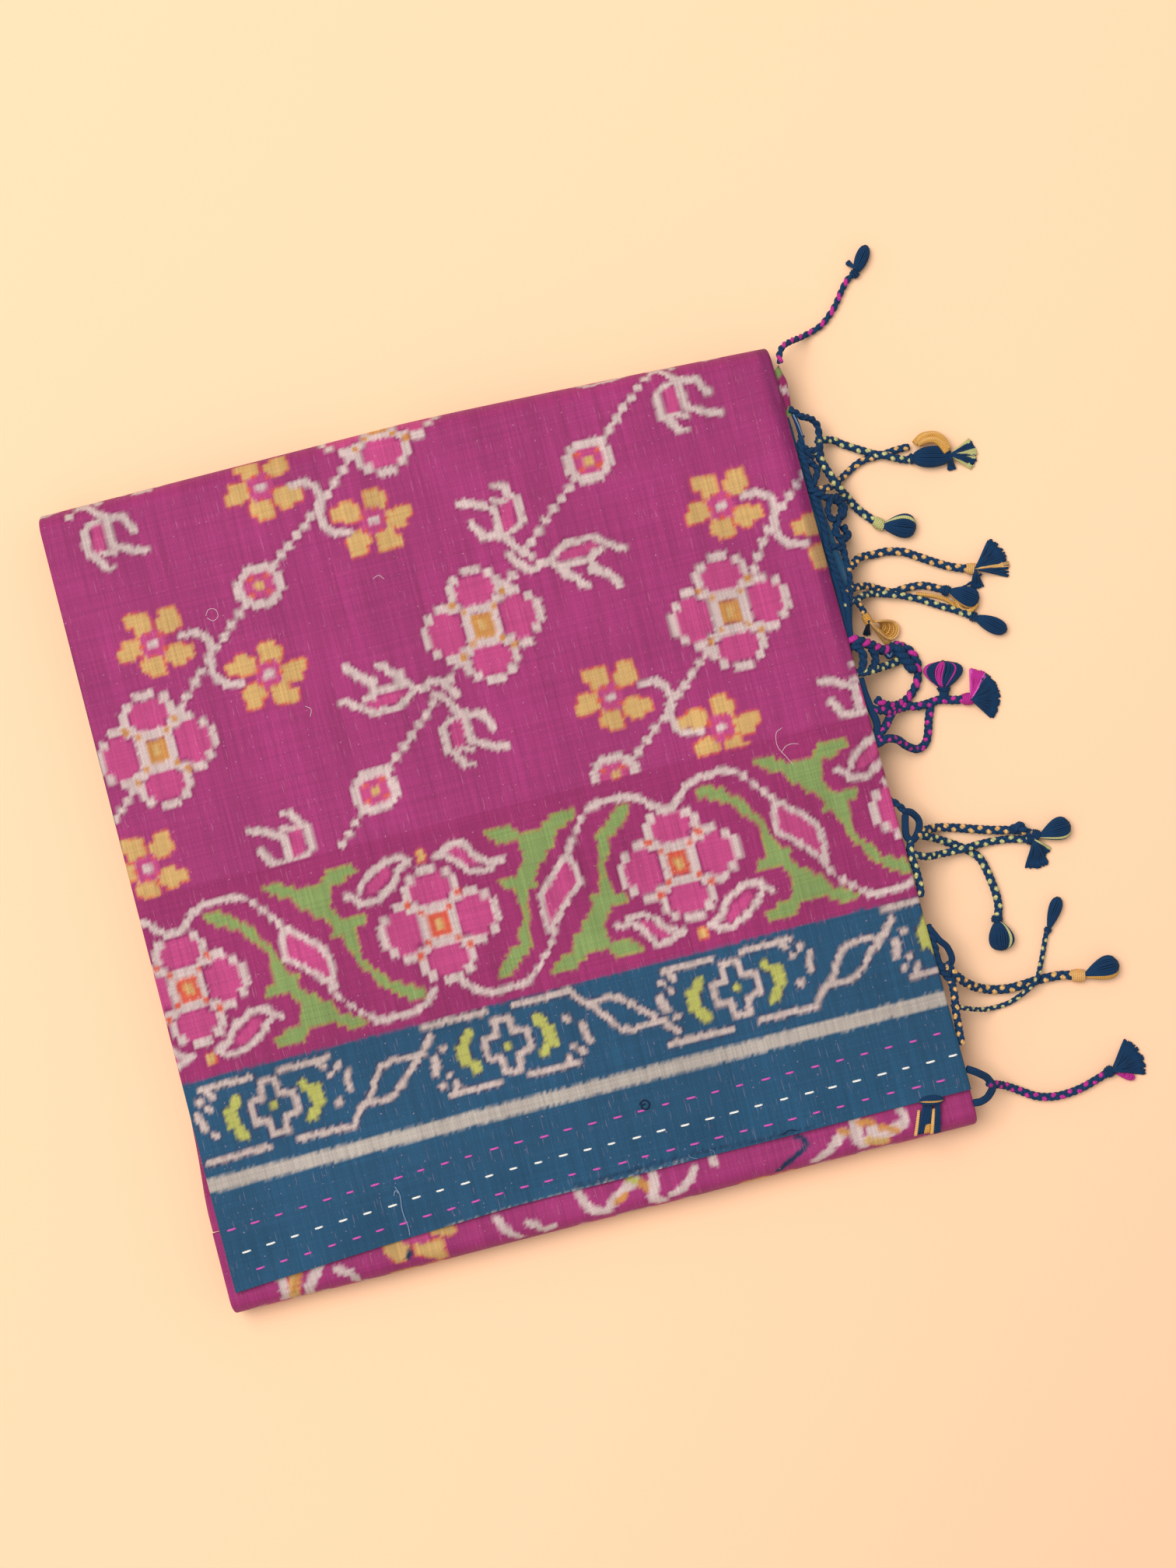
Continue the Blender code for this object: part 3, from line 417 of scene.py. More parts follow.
@dataclass
class UpperPattern:
    """The pattern of the upper panel: a trellis of flowers, a creeper and a blue border."""

    field_front: float = 8.0
    blue_rear: float = -61.6
    stripe: tuple[float, float] = (-103.0, -97.9)
    creeper_centre: float = -27.9
    flowers: Points = ((-117.5, 60.0), (100.0, 57.3), (10.4, 74.9), (-9.5, 159.0), (117.2, 174.6), (-100.0, 177.6))
    tulip_flowers: tuple[tuple[float, float, int], ...] = (
        (10.4, 74.9, 1), (10.4, 74.9, -1), (117.2, 174.6, 1), (-100.0, 177.8, 1), (-94.8, -22.6, -1),
        (122.5, -21.4, -1))
    joints: Points = ((-90.0, 88.4), (-37.4, 132.2), (124.2, 86.7), (69.6, 29.0))
    stars_above: Points = ((-109.0, 98.3), (-56.3, 144.5), (49.5, 37.3), (106.4, 95.7), (-131.8, 18.6))
    stars_below: Points = ((-70.5, 77.0), (-19.2, 122.2), (86.2, 16.4), (145.0, 75.5))
    buds: Points = ((-65.7, 109.4), (63.2, 124.2), (-43.3, 25.5), (44.0, 9.0), (154.0, 106.0))
    stems: tuple[Points, ...] = (
        ((-105.5, 72.5), (-90.6, 88.0), (-72.0, 104.4)), ((-59.0, 115.6), (-37.2, 132), (-21.6, 146.8)),
        ((22.4, 87.4), (25.4, 90.4)), ((31.5, 97.0), (57.4, 119.4)), ((69.6, 130.0), (98.0, 155.0)),
        ((-2.0, 63.4), (-6.6, 58.8)), ((-14.4, 51.2), (-36.4, 32.4)), ((-49.6, 19.4), (-60.0, 9.0)),
        ((112, 70), (124.2, 86.7), (146, 106)), ((88.0, 44.6), (70.0, 28.6), (50.6, 12.6)), ((-129.5, 48.0), (-142, 36.0)),
        ((-112, 165), (-128, 152)),
    )
    up_flowers: tuple[float, ...] = (-128.1, 59.0)
    down_flowers: tuple[float, ...] = (-32.5, 154.3)
    medallions: tuple[float, ...] = (-108.2, -19.2, 67.6, 156.0)
    medallion_centre: float = -77.7
    # The blue of the end ply that shows along the left fold: middle, half width and half height
    fold_line: tuple[float, float, float, float] = (-140.0, 64.0, 0.8, 37.0)
    # The pale selvedge itself, and a painted shadow: the dark line where the edge lifts a little
    selvedge_line_and_painted_shadow: Strokes = (
        ("S", 0.7, ((-58.0, -136.6), (-24.0, -136.1), (4.0, -135.3), (34.0, -135.0))),
        ("N", 1.2, ((-8.0, -134.2), (12.0, -133.4), (36.0, -133.1), (60.0, -134.2), (82.0, -134.6))),
    )

    def draw(self) -> DyedLength:
        """Charts the whole upper panel."""
        cloth = DyedLength(-143.0, 146.0, -142.0, 176.0)
        self.trellis(cloth)
        cloth.clear(cloth.front, self.field_front)
        cloth.band(cloth.front, self.field_front, Dye.BORDER)
        self.creeper(cloth)
        cloth.rim(Dye.UNDYED, Dye.SHADE, True)
        cloth.rim(Dye.YELLOW, Dye.RED, True)
        cloth.rim(Dye.LEAF, Dye.LEAF_EDGE, False)
        self.blue_border(cloth)
        cloth.block(*self.fold_line, Dye.NAVY)
        # The pale selvedge line, and the painted shadow under its lifted edge
        cloth.strokes(self.selvedge_line_and_painted_shadow, 0.0, 0.0)
        return cloth

    def trellis(self, cloth: DyedLength) -> None:
        """Draws the diagonal stems of the field with what grows on them."""
        for points in self.stems:
            cloth.beads(points)
        for x, y, sign in self.tulip_flowers:
            cloth.strokes(TULIPS, x, y, sign, sign)
        for x, y in self.joints:
            cloth.strokes(JOINT, x, y)
        for x, y in self.stars_above:
            cloth.starflower(x, y, PETALS_ABOVE)
        for x, y in self.stars_below:
            cloth.starflower(x, y, PETALS_BELOW)
        for x, y in self.buds:
            cloth.blocks(BUD, x, y)
        for x, y in self.flowers:
            cloth.blocks(FLOWER, x, y)

    def creeper(self, cloth: DyedLength) -> None:
        """Draws the waving creeper, its flowers turned up and down in turn."""
        middle = self.creeper_centre
        for x in self.up_flowers:
            for way in (1, -1):
                for points in (VINE, VINE_LOW):
                    cloth.stroke(tuple((x + way * a, middle + b) for a, b in points), 2.6, Dye.UNDYED)
                for points in (VINE_BEADS, VINE_LOW_BEADS):
                    cloth.beads(tuple((x + way * a, middle + b) for a, b in points), 1.15)
                bud = tuple((x + way * a, middle + b) for a, b in CREEPER_BUD)
                cloth.fill(bud, Dye.PINK)
                cloth.stroke(bud, 2.3, Dye.UNDYED)
            cloth.leaf(LEFT_LEAF, x, middle + 28.0, False)
            cloth.leaf(LEFT_LEAF, x - 88.0, middle - 27.6, True)
            cloth.leaf(RIGHT_LEAF, x, middle + 28.6, False)
            cloth.leaf(RIGHT_LEAF, x + 96.8, middle - 28.4, True)
            cloth.strokes(LEAFLETS, x, middle, -1, -1)
            cloth.block(x + 1.8, middle - 27.4, 1.5, 1.9, Dye.YELLOW)
            cloth.blocks(FLOWER, x, middle, Dye.RED)
        for x in self.down_flowers:
            cloth.strokes(LEAFLETS, x, middle)
            cloth.block(x - 0.5, middle + 26.2, 1.2, 2.0, Dye.YELLOW)
            cloth.blocks(FLOWER, x, middle, Dye.RED)

    def blue_border(self, cloth: DyedLength) -> None:
        """Draws the blue border with its medallions and pale stripe."""
        cloth.clear(cloth.front, self.blue_rear)
        cloth.band(cloth.front, self.blue_rear, Dye.BLUE)
        for number, x in enumerate(self.medallions):
            way = 1 if number % 2 == 0 else -1
            cloth.strokes(MEDALLION, x, self.medallion_centre, 1, way)
            cloth.strokes(LOZENGE, x, self.medallion_centre, 1, way)
        cloth.rim(Dye.BLUSH, Dye.MAROON, True)
        cloth.rim(Dye.LIME, Dye.MAROON, True)
        cloth.band(*self.stripe, Dye.STRIPE)


@dataclass
class FrontPattern:
    """The pattern of the ply below the selvedge: the same field, of which a strip shows."""

    strip: Strokes = (
        ("W", 3.4, ((-122.6, -138), (-121.6, -142), (-121.8, -147), (-123, -154))),
        ("Y", 3.6, ((-116.0, -136), (-117, -142), (-118.5, -147.5), (-119.5, -154))),
        ("O", 2.2, ((-114.6, -139), (-116.6, -143.5), (-118.8, -146.4))),
        ("W", 3.4, ((-106.5, -137.5), (-109.0, -141.5), (-112.6, -145.8), (-113.5, -154))),
        ("W", 2.8, ((-101.0, -141.8), (-98.0, -144.6))), ("W", 2.8, ((-96.4, -144.6), (-95.0, -149.2))),
        ("Y", 6.2, ((-79.6, -138), (-76.2, -142.6))), ("Y", 3.8, ((-62.4, -136.5), (-57.6, -138.2))),
        ("Y", 4.8, ((-69.0, -142.0), (-65.4, -144.2), (-62.6, -143.0))), ("Y", 3.6, ((-64.0, -145.5), (-62.4, -147.6))),
        ("P", 4.4, ((-72.6, -137.2), (-67.8, -138.6))),
        ("W", 2.7, ((-39.4, -138.6), (-37.6, -142.4), (-35.4, -145.4), (-32.6, -148.6))),
        ("W", 2.8, ((-28.0, -143.0), (-25.2, -145.4), (-22.4, -148.2), (-19.6, -147.2))),
        ("W", 3.0, ((-7.8, -136.4), (-6.4, -141.2), (-3.6, -145.0), (1.6, -146.4))),
        ("W", 3.4, ((3.4, -144.4), (8.6, -140.4), (14.0, -137.4))), ("L", 2.6, ((12.6, -136.8), (16.8, -139.8))),
        ("O", 2.6, ((5.6, -144.0), (8.6, -142.6))), ("O", 3.0, ((16.6, -139.6), (18.8, -143.0))),
        ("W", 3.4, ((20.6, -137), (20.2, -142), (18.2, -145.6), (22.4, -148.6))),
        ("W", 2.8, ((26.0, -146.2), (30.4, -144.8), (33.4, -142.6), (36.0, -139.0))), ("W", 2.6, ((43.4, -134.6), (43.8, -138.8))),
        ("N", 2.2, ((75.4, -136.8), (78.2, -138.2))),
        # Painted shade: a dark line along a crease in the front fold
        ("N", 2.1, ((66.0, -148.8), (69.6, -145.8), (74.6, -143.2), (79.0, -141.0))),
        ("N", 2.1, ((-73.6, -142.4), (-73.8, -144.2))),
        ("W", 3.0, ((80.4, -148.0), (85.6, -145.6), (89.0, -142.6), (93.2, -140.0))), ("O", 2.4, ((91.6, -139.2), (95.2, -140.6))),
        ("W", 4.2, ((98.0, -137.2), (97.0, -141.6), (99.4, -146.2))), ("O", 2.6, ((99.4, -137.6), (103.6, -138.6))),
        ("W", 3.8, ((103.4, -142.2), (109.0, -144.2), (114.6, -142.0))), ("Y", 3.4, ((101.4, -145.4), (107.0, -147.4))),
        ("O", 2.4, ((107.0, -141.2), (112.0, -143.6))), ("W", 2.8, ((115.4, -136.6), (116.2, -140.6))),
    )
    # Where the same motifs go on down the face of the fold
    face_rear: float = -150.6
    face_middle: float = -156.0
    face_flowers: tuple[float, ...] = (-113.0, 11.0, 103.0)
    face_stars: tuple[float, ...] = (-68.0, 66.0)

    def draw(self) -> DyedLength:
        """Charts the strip that shows, and what goes down over the fold."""
        cloth = DyedLength(-146.0, 146.0, -170.0, -114.0, seed=11)
        cloth.strokes(self.strip, 0.0, 0.0)
        shown = cloth.chart.copy()
        for x in self.face_flowers:
            cloth.blocks(FLOWER, x, self.face_middle)
        for x in self.face_stars:
            cloth.starflower(x, self.face_middle, PETALS_BELOW)
        strip = cloth.window(cloth.left, cloth.right, self.face_rear, cloth.rear)
        cloth.chart[strip] = shown[strip]
        cloth.rim(Dye.YELLOW, Dye.RED, True)
        return cloth


@dataclass(frozen=True)
class TussarSilk:
    """Tussar silk in plain weave: matt, with thick and thin wild-silk yarns that show as fine streaks.

    The real yarns are about 0.35 mm apart. They are drawn 0.7 mm apart, so that they show at all.
    """

    name: str = "woven tussar silk"
    thread: float = 0.0007
    slub_width: float = 0.0008
    slub_length: float = 0.038
    roughness: float = 0.66

    def make(self) -> bpy.types.Material:
        """Builds the material.

        Returns:
            The material, which reads the attribute "dye" and the UV map "cloth" in metres.
        """
        made, shader = new_material(self.name)
        tree = made.node_tree
        dye = add_node(tree, "ShaderNodeAttribute", {"attribute_name": "dye"}).outputs["Color"]
        place = add_node(tree, "ShaderNodeUVMap", {"uv_map": "cloth"}).outputs["UV"]
        weave = self.weave(tree, place)
        shade = self.streaks(tree, place)
        # Painted light and shade of the weave: the colour is darker in the low places between threads and lighter on
        # their tops
        threads = add_node(tree, "ShaderNodeMapRange", {}, {"Value": weave, 3: 0.93, 4: 1.07}).outputs[0]
        toned = add_node(tree, "ShaderNodeMath", {"operation": "MULTIPLY"}, {0: shade, 1: threads})
        coloured = add_node(tree, "ShaderNodeMix", {"data_type": "RGBA", "blend_type": "MULTIPLY"},
                            {0: 1.0, 6: dye, 7: toned.outputs[0]})
        pale = self.neps(tree, place)
        fibred = add_node(tree, "ShaderNodeMix", {"data_type": "RGBA"},
                          {0: pale, 6: coloured.outputs[2], 7: (*linear("CFA0B8"), 1.0)})
        tree.links.new(fibred.outputs[2], shader.inputs["Base Color"])
        raised = add_node(tree, "ShaderNodeMath", {"operation": "ADD"}, {0: weave, 1: shade})
        bump = add_node(tree, "ShaderNodeBump", {}, {"Strength": 0.35, "Distance": 0.00012,
                                                     "Height": raised.outputs[0]})
        tree.links.new(bump.outputs[0], shader.inputs["Normal"])
        shader.inputs["Roughness"].default_value = self.roughness
        shader.inputs["Sheen Weight"].default_value = 0.05
        shader.inputs["Sheen Roughness"].default_value = 0.45
        shader.inputs["IOR"].default_value = 1.46
        shader.inputs["Specular IOR Level"].default_value = 0.22
        return made

    def weave(self, tree: bpy.types.NodeTree, place: bpy.types.NodeSocket) -> bpy.types.NodeSocket:
        """Adds the over and under of a plain weave, as a height from 0 to 1."""
        turns = math.pi / self.thread
        wide = add_node(tree, "ShaderNodeVectorMath", {"operation": "SCALE"}, {0: place, 3: turns})
        parts = add_node(tree, "ShaderNodeSeparateXYZ", {}, {0: wide.outputs[0]})
        across = add_node(tree, "ShaderNodeMath", {"operation": "SINE"}, {0: parts.outputs[0]})
        along = add_node(tree, "ShaderNodeMath", {"operation": "SINE"}, {0: parts.outputs[1]})
        both = add_node(tree, "ShaderNodeMath", {"operation": "MULTIPLY"},
                        {0: across.outputs[0], 1: along.outputs[0]})
        return add_node(tree, "ShaderNodeMath", {"operation": "MULTIPLY_ADD"},
                        {0: both.outputs[0], 1: 0.5, 2: 0.5}).outputs[0]

    def streaks(self, tree: bpy.types.NodeTree, place: bpy.types.NodeSocket) -> bpy.types.NodeSocket:
        """Adds the light and dark streaks of uneven yarn, both ways of the cloth."""
        total = None
        layers = ((self.slub_width, self.slub_length, 0.10, 3.0), (0.05, 0.0009, 0.06, 7.0),
                  (0.0035, 0.11, 0.06, 11.0), (0.03, 0.04, 0.07, 19.0))
        for across, along, depth, start in layers:
            mapped = add_node(tree, "ShaderNodeMapping", {}, {0: place, 1: (start, start, 0.0),
                                                              3: (1 / across, 1 / along, 1.0)})
            noise = add_node(tree, "ShaderNodeTexNoise", {"noise_dimensions": "2D"},
                             {"Vector": mapped.outputs[0], "Scale": 1.0, "Detail": 2.0})
            part = add_node(tree, "ShaderNodeMapRange", {"clamp": False},
                            {"Value": noise.outputs[0], 1: 0.3, 2: 0.7, 3: 1 - depth, 4: 1 + depth}).outputs[0]
            if total is None:
                total = part
            else:
                total = add_node(tree, "ShaderNodeMath", {"operation": "MULTIPLY"}, {0: total, 1: part}).outputs[0]
        return total

    def neps(self, tree: bpy.types.NodeTree, place: bpy.types.NodeSocket) -> bpy.types.NodeSocket:
        """Adds the pale slubs and specks of undyed fibre, as how far they cover the dye."""
        parts = []
        for across, along, low, high, most in ((0.0006, 0.008, 0.72, 0.80, 0.16), (0.0013, 0.0013, 0.79, 0.84, 0.35)):
            mapped = add_node(tree, "ShaderNodeMapping", {}, {0: place, 3: (1 / across, 1 / along, 1.0)})
            noise = add_node(tree, "ShaderNodeTexNoise", {"noise_dimensions": "2D"},
                             {"Vector": mapped.outputs[0], "Scale": 1.0, "Detail": 1.0})
            parts.append(add_node(tree, "ShaderNodeMapRange", {},
                                  {"Value": noise.outputs[0], 1: low, 2: high, 4: most}).outputs[0])
        return add_node(tree, "ShaderNodeMath", {"operation": "MAXIMUM"}, {0: parts[0], 1: parts[1]}).outputs[0]


@dataclass(frozen=True)
class SpunYarn:
    """Spun thread of the fringe: soft and matt, its plies twisted about one another.

    The attribute "yarn" gives its colour, and the UV map "cloth" runs along and round each thread.
    """

    name: str = "spun fringe yarn"
    twist: float = 0.0016
    roughness: float = 0.82

    def make(self) -> bpy.types.Material:
        """Builds the material."""
        made, shader = new_material(self.name)
        tree = made.node_tree
        yarn = add_node(tree, "ShaderNodeAttribute", {"attribute_name": "yarn"}).outputs["Color"]
        place = add_node(tree, "ShaderNodeUVMap", {"uv_map": "cloth"}).outputs["UV"]
        parts = add_node(tree, "ShaderNodeSeparateXYZ", {}, {0: place})
        turned = add_node(tree, "ShaderNodeMath", {"operation": "MULTIPLY_ADD"},
                          {0: parts.outputs[0], 1: 1 / self.twist, 2: parts.outputs[1]})
        angle = add_node(tree, "ShaderNodeMath", {"operation": "MULTIPLY"}, {0: turned.outputs[0], 1: 4 * math.pi})
        ridge = add_node(tree, "ShaderNodeMath", {"operation": "SINE"}, {0: angle.outputs[0]})
        fibre = add_node(tree, "ShaderNodeMapping", {}, {0: place, 3: (900.0, 9.0, 1.0)})
        noise = add_node(tree, "ShaderNodeTexNoise", {"noise_dimensions": "2D"},
                         {"Vector": fibre.outputs[0], "Scale": 1.0, "Detail": 3.0})
        height = add_node(tree, "ShaderNodeMath", {"operation": "MULTIPLY_ADD"},
                          {0: ridge.outputs[0], 1: 0.35, 2: noise.outputs[0]})
        # Painted shade in the grooves of the twist and lighter ridges, with random tone of the fibres
        tone = add_node(tree, "ShaderNodeMapRange", {"clamp": False},
                        {"Value": height.outputs[0], 1: 0.0, 2: 1.0, 3: 0.72, 4: 1.28})
        coloured = add_node(tree, "ShaderNodeMix", {"data_type": "RGBA", "blend_type": "MULTIPLY"},
                            {0: 1.0, 6: yarn, 7: tone.outputs[0]})
        tree.links.new(coloured.outputs[2], shader.inputs["Base Color"])
        bump = add_node(tree, "ShaderNodeBump", {}, {"Strength": 0.5, "Distance": 0.00012,
                                                     "Height": height.outputs[0]})
        tree.links.new(bump.outputs[0], shader.inputs["Normal"])
        shader.inputs["Roughness"].default_value = self.roughness
        shader.inputs["Sheen Weight"].default_value = 0.03
        shader.inputs["Sheen Roughness"].default_value = 0.5
        shader.inputs["IOR"].default_value = 1.5
        shader.inputs["Specular IOR Level"].default_value = 0.2
        return made


def cloth_piece(
    name: str,
    points: np.ndarray,
    dye: np.ndarray,
    flat: np.ndarray,
    material: bpy.types.Material,
    turned: bool = False,
    closed: bool = False,
) -> bpy.types.Object:
    """Makes a piece of cloth from rows of points.

    Args:
        name: The piece's name.
        points: Rows by columns of places, in millimetres.
        dye: The colour at each point, linear.
        flat: The place of each point on the flat cloth, in millimetres.
        material: Its finish.
        turned: Whether the rows run so that the faces need turning round.
        closed: Whether each row runs round both sides of the cloth, which is then closed at both ends.

    Returns:
        The piece, smooth shaded, at the origin.
    """
    rows, columns = points.shape[:2]
    number = np.arange(rows * columns).reshape(rows, columns)
    if closed:
        number = np.concatenate([number, number[:, :1]], axis=1)
    corners = [number[:-1, :-1], number[:-1, 1:], number[1:, 1:], number[1:, :-1]]
    faces = np.stack([c.ravel() for c in (corners[::-1] if turned else corners)], axis=1)
    mesh = bpy.data.meshes.new(name)
    mesh.from_pydata((points.reshape(-1, 3) * MM).tolist(), [], faces.tolist())
    colour = mesh.color_attributes.new("dye", "FLOAT_COLOR", "POINT")
    full = np.ones((rows * columns, 4), np.float32)
    full[:, :3] = dye.reshape(-1, 3)
    colour.data.foreach_set("color", full.ravel())
    layer = mesh.uv_layers.new(name="cloth")
    layer.data.foreach_set("uv", (flat.reshape(-1, 2)[faces.ravel()] * MM).astype(np.float32).ravel())
    if closed:
        close_ends(mesh)
    mesh.shade_smooth()
    mesh.set_sharp_from_angle(angle=math.radians(60))
    mesh.materials.append(material)
    made = bpy.data.objects.new(name, mesh)
    bpy.context.scene.collection.objects.link(made)
    return made


def close_ends(mesh: bpy.types.Mesh) -> None:
    """Fills the open ends of a wall of cloth, and turns its faces outward."""
    shape = bmesh.new()
    shape.from_mesh(mesh)
    bmesh.ops.holes_fill(shape, edges=[edge for edge in shape.edges if edge.is_boundary], sides=0)
    bmesh.ops.recalc_face_normals(shape, faces=shape.faces)
    shape.to_mesh(mesh)
    shape.free()


@dataclass
class Packet:
    """The outline and the folds of the packet, with the same sizes as its solids."""

    wall: float = 1.0
    gap: float = 0.3
    top: float = 19.6
    left: float = -139.3
    right_rear: float = 137.8
    right_front: float = 142.4
    rear: float = 155.3
    rear_slant: float = 6.4
    selvedge: float = -135.6
    selvedge_dip: float = 5.4
    dip_start: float = -30.0
    curve_power: float = 1.2
    rear_roll: float = 8.0
    roll_end: float = -78.0
    turn_under: float = 4.0

    def right_edge(self, y: np.ndarray | float) -> np.ndarray | float:
        """Where the upper sheet's right edge lies at a depth."""
        share = np.clip((self.rear - y) / (self.rear - self.selvedge), 0, 1)
        return self.right_rear + (self.right_front - self.right_rear) * share

    def rear_edge(self, x: np.ndarray) -> np.ndarray:
        """Where the rear fold lies along the border."""
        return self.rear - self.rear_slant * np.maximum(0, x / self.right_rear) ** self.curve_power

    def front_edge(self, x: np.ndarray) -> np.ndarray:
        """Where the selvedge lies along the border."""
        share = np.maximum(0, (self.dip_start - x) / (self.dip_start - self.left))
        return self.selvedge - self.selvedge_dip * share**self.curve_power

    def turned_side(self, pitch: float) -> tuple[np.ndarray, np.ndarray, np.ndarray]:
        """The outer skin of a side edge that turns under, from its hidden end to the top.

        Args:
            pitch: How far apart its points are.

        Returns:
            For each point how far in it lies, how deep, and how far along the cloth from the top.
        """
        radius = self.wall + self.gap / 2
        tuck = np.linspace(radius + self.turn_under, radius, round(self.turn_under / pitch) + 1)
        angle = np.radians(np.linspace(-90, 90, 8))[1:-1]
        inward = np.concatenate([tuck, radius - radius * np.cos(angle)])
        deep = np.concatenate([np.full(tuck.size, 2 * radius), radius - radius * np.sin(angle)])
        around = np.concatenate([np.pi * radius + (tuck - radius), radius * (np.pi / 2 - angle)])
        return inward, deep, around

    def roll(self, top: float, radius: float, steps: int) -> tuple[np.ndarray, ...]:
        """The outer skin of an edge that rolls down to the table.

        Args:
            top: The height of the level cloth.
            radius: How far out the roll reaches from its shoulder.
            steps: How many points.

        Returns:
            How far out each point is, its height, its outward and upward normal, and its arc length.
        """
        angle = np.radians(np.linspace(90, self.roll_end, steps + 1))[1:]
        out, height = radius * np.cos(angle), top / 2 * (1 + np.sin(angle))
        normal = np.stack([np.cos(angle) / radius, np.sin(angle) * 2 / top])
        normal /= np.linalg.norm(normal, axis=0)
        step = np.hypot(np.diff(out, prepend=0), np.diff(height, prepend=top))
        return out, height, normal[0], normal[1], np.cumsum(step)


@dataclass
class UpperPanel:
    """The upper panel, from the selvedge back over the rear fold, its side edges turned under."""

    packet: Packet
    pitch: float = 1.05
    sink: float = 1.0
    sink_start: float = -119.0
    sink_length: float = 15.0
    sink_margin: float = 12.0
    ripple: float = 0.35
    ripple_length: float = 61.0
    crease: float = 0.5
    crease_inset: float = 8.5
    crease_width: float = 2.6
    crease_end: float = 60.0
    # The right edge falls away a little, and painted shade darkens it towards the fold
    edge_fall: float = 5.6
    edge_drop: float = 1.5
    edge_painted_shade: float = 0.36
    # Soft creases, listed one by one: from, to, half width, height
    creases: tuple[tuple[float, float, float, float, float, float], ...] = (
        (-96, 150, -84, -60, 7.0, 0.16), (-38, 150, -31, 20, 5.0, -0.14), (12, 40, 24, -120, 8.0, 0.15),
        (62, 148, 70, -30, 6.0, 0.14), (104, 60, 112, -100, 6.0, -0.13), (-139, 92, -40, 80, 5.0, 0.12),
        (20, 96, 138, 84, 6.0, -0.12), (-120, -40, 30, -52, 6.0, 0.12),
    )

    def build(self, material: bpy.types.Material) -> bpy.types.Object:
        """Builds the panel with its pattern."""
        packet = self.packet
        inward, deep, around = packet.turned_side(self.pitch)
        middle = round((packet.right_rear - packet.left) / self.pitch) - 2
        share = np.linspace(0, 1, middle + 1)
        out, height, normal_y, normal_z, arc = packet.roll(packet.top, packet.rear_roll, 26)
        level_rows = round((packet.rear - packet.rear_roll - packet.selvedge) / self.pitch)
        lip = ((0.35, -1.0), (0.05, -0.62), (0.0, -0.25))
        levels = np.concatenate([np.zeros(len(lip)), np.linspace(0, 1, level_rows + 1), np.ones(out.size)])
        rough_y = packet.selvedge + (packet.rear - packet.rear_roll - packet.selvedge) * levels
        rough_y[-out.size:] += out
        edge = packet.right_edge(rough_y)[:, None]
        radius = packet.wall + packet.gap / 2
        flat_x = packet.left + radius + (edge - packet.left - 2 * radius) * share[None, :]
        left_x = np.repeat(packet.left + inward[None, :], levels.size, axis=0)
        right_x = edge - inward[None, ::-1]
        x = np.concatenate([left_x, flat_x, right_x], axis=1)
        side = np.concatenate([deep, np.zeros(share.size), deep[::-1]])[None, :]
        left_u = packet.left + radius - around[None, :] + 0 * edge
        right_u = edge - radius + around[None, ::-1]
        u = np.concatenate([left_u, flat_x, right_u], axis=1)
        front, shoulder = packet.front_edge(x), packet.rear_edge(x) - packet.rear_roll
        y = front + (shoulder - front) * levels[:, None]
        v = y.copy()
        z = packet.top - side + self.lift(x, y, side)
        for row, (back, drop) in enumerate(lip):
            y[row] += back
            z[row] += drop
            v[row] += drop
        rolled = slice(levels.size - out.size, None)
        v[rolled] += arc[:, None]
        y[rolled] += out[:, None] - normal_y[:, None] * side
        z[rolled] = height[:, None] - normal_z[:, None] * side
        points = np.stack([x, y, z], axis=2)
        dye = UpperPattern().draw().colours(u, v)
        # Painted shade: the cloth is darkened along the right edge where it turns down
        near = smooth((x - edge + self.edge_fall) / 2.5) * smooth((y - 4) / 50)
        dye *= 1 - self.edge_painted_shade * near[:, :, None] * np.array([1.0, 1.1, 0.8])
        return cloth_piece("upper_panel", points, dye, np.stack([u, v], axis=2), material)

    def lift(self, x: np.ndarray, y: np.ndarray, side: np.ndarray) -> np.ndarray:
        """How far the cloth lies off its level height: its loose front edge, its ripples and creases."""
        packet = self.packet
        right = packet.right_edge(y)
        inside = np.minimum(x - packet.left, right - x)
        free = smooth((inside - packet.turn_under) / self.sink_margin)
        front = smooth((self.sink_start - y) / self.sink_length)
        ripple = self.ripple * (1 + np.sin(2 * np.pi * x / self.ripple_length))
        off = (right - self.crease_inset - x) / self.crease_width
        edge_crease = self.crease * np.exp(-off * off) * smooth((y - self.crease_end) / self.crease_end)
        total = free * front * (ripple - self.sink) + edge_crease
        past = np.clip((x - right + self.edge_fall) / self.edge_fall, 0, 1)
        total = total - self.edge_drop * past * past * smooth((y - 4) / 50) * smooth((140 - y) / 20)
        for from_x, from_y, to_x, to_y, width, height in self.creases:
            run_x, run_y = to_x - from_x, to_y - from_y
            length = math.hypot(run_x, run_y)
            along = ((x - from_x) * run_x + (y - from_y) * run_y) / length**2
            away = ((x - from_x) * run_y - (y - from_y) * run_x) / length / width
            total = total + free * height * np.exp(-away * away) * smooth(along * 5) * smooth((1 - along) * 5)
        return total * (side == 0)


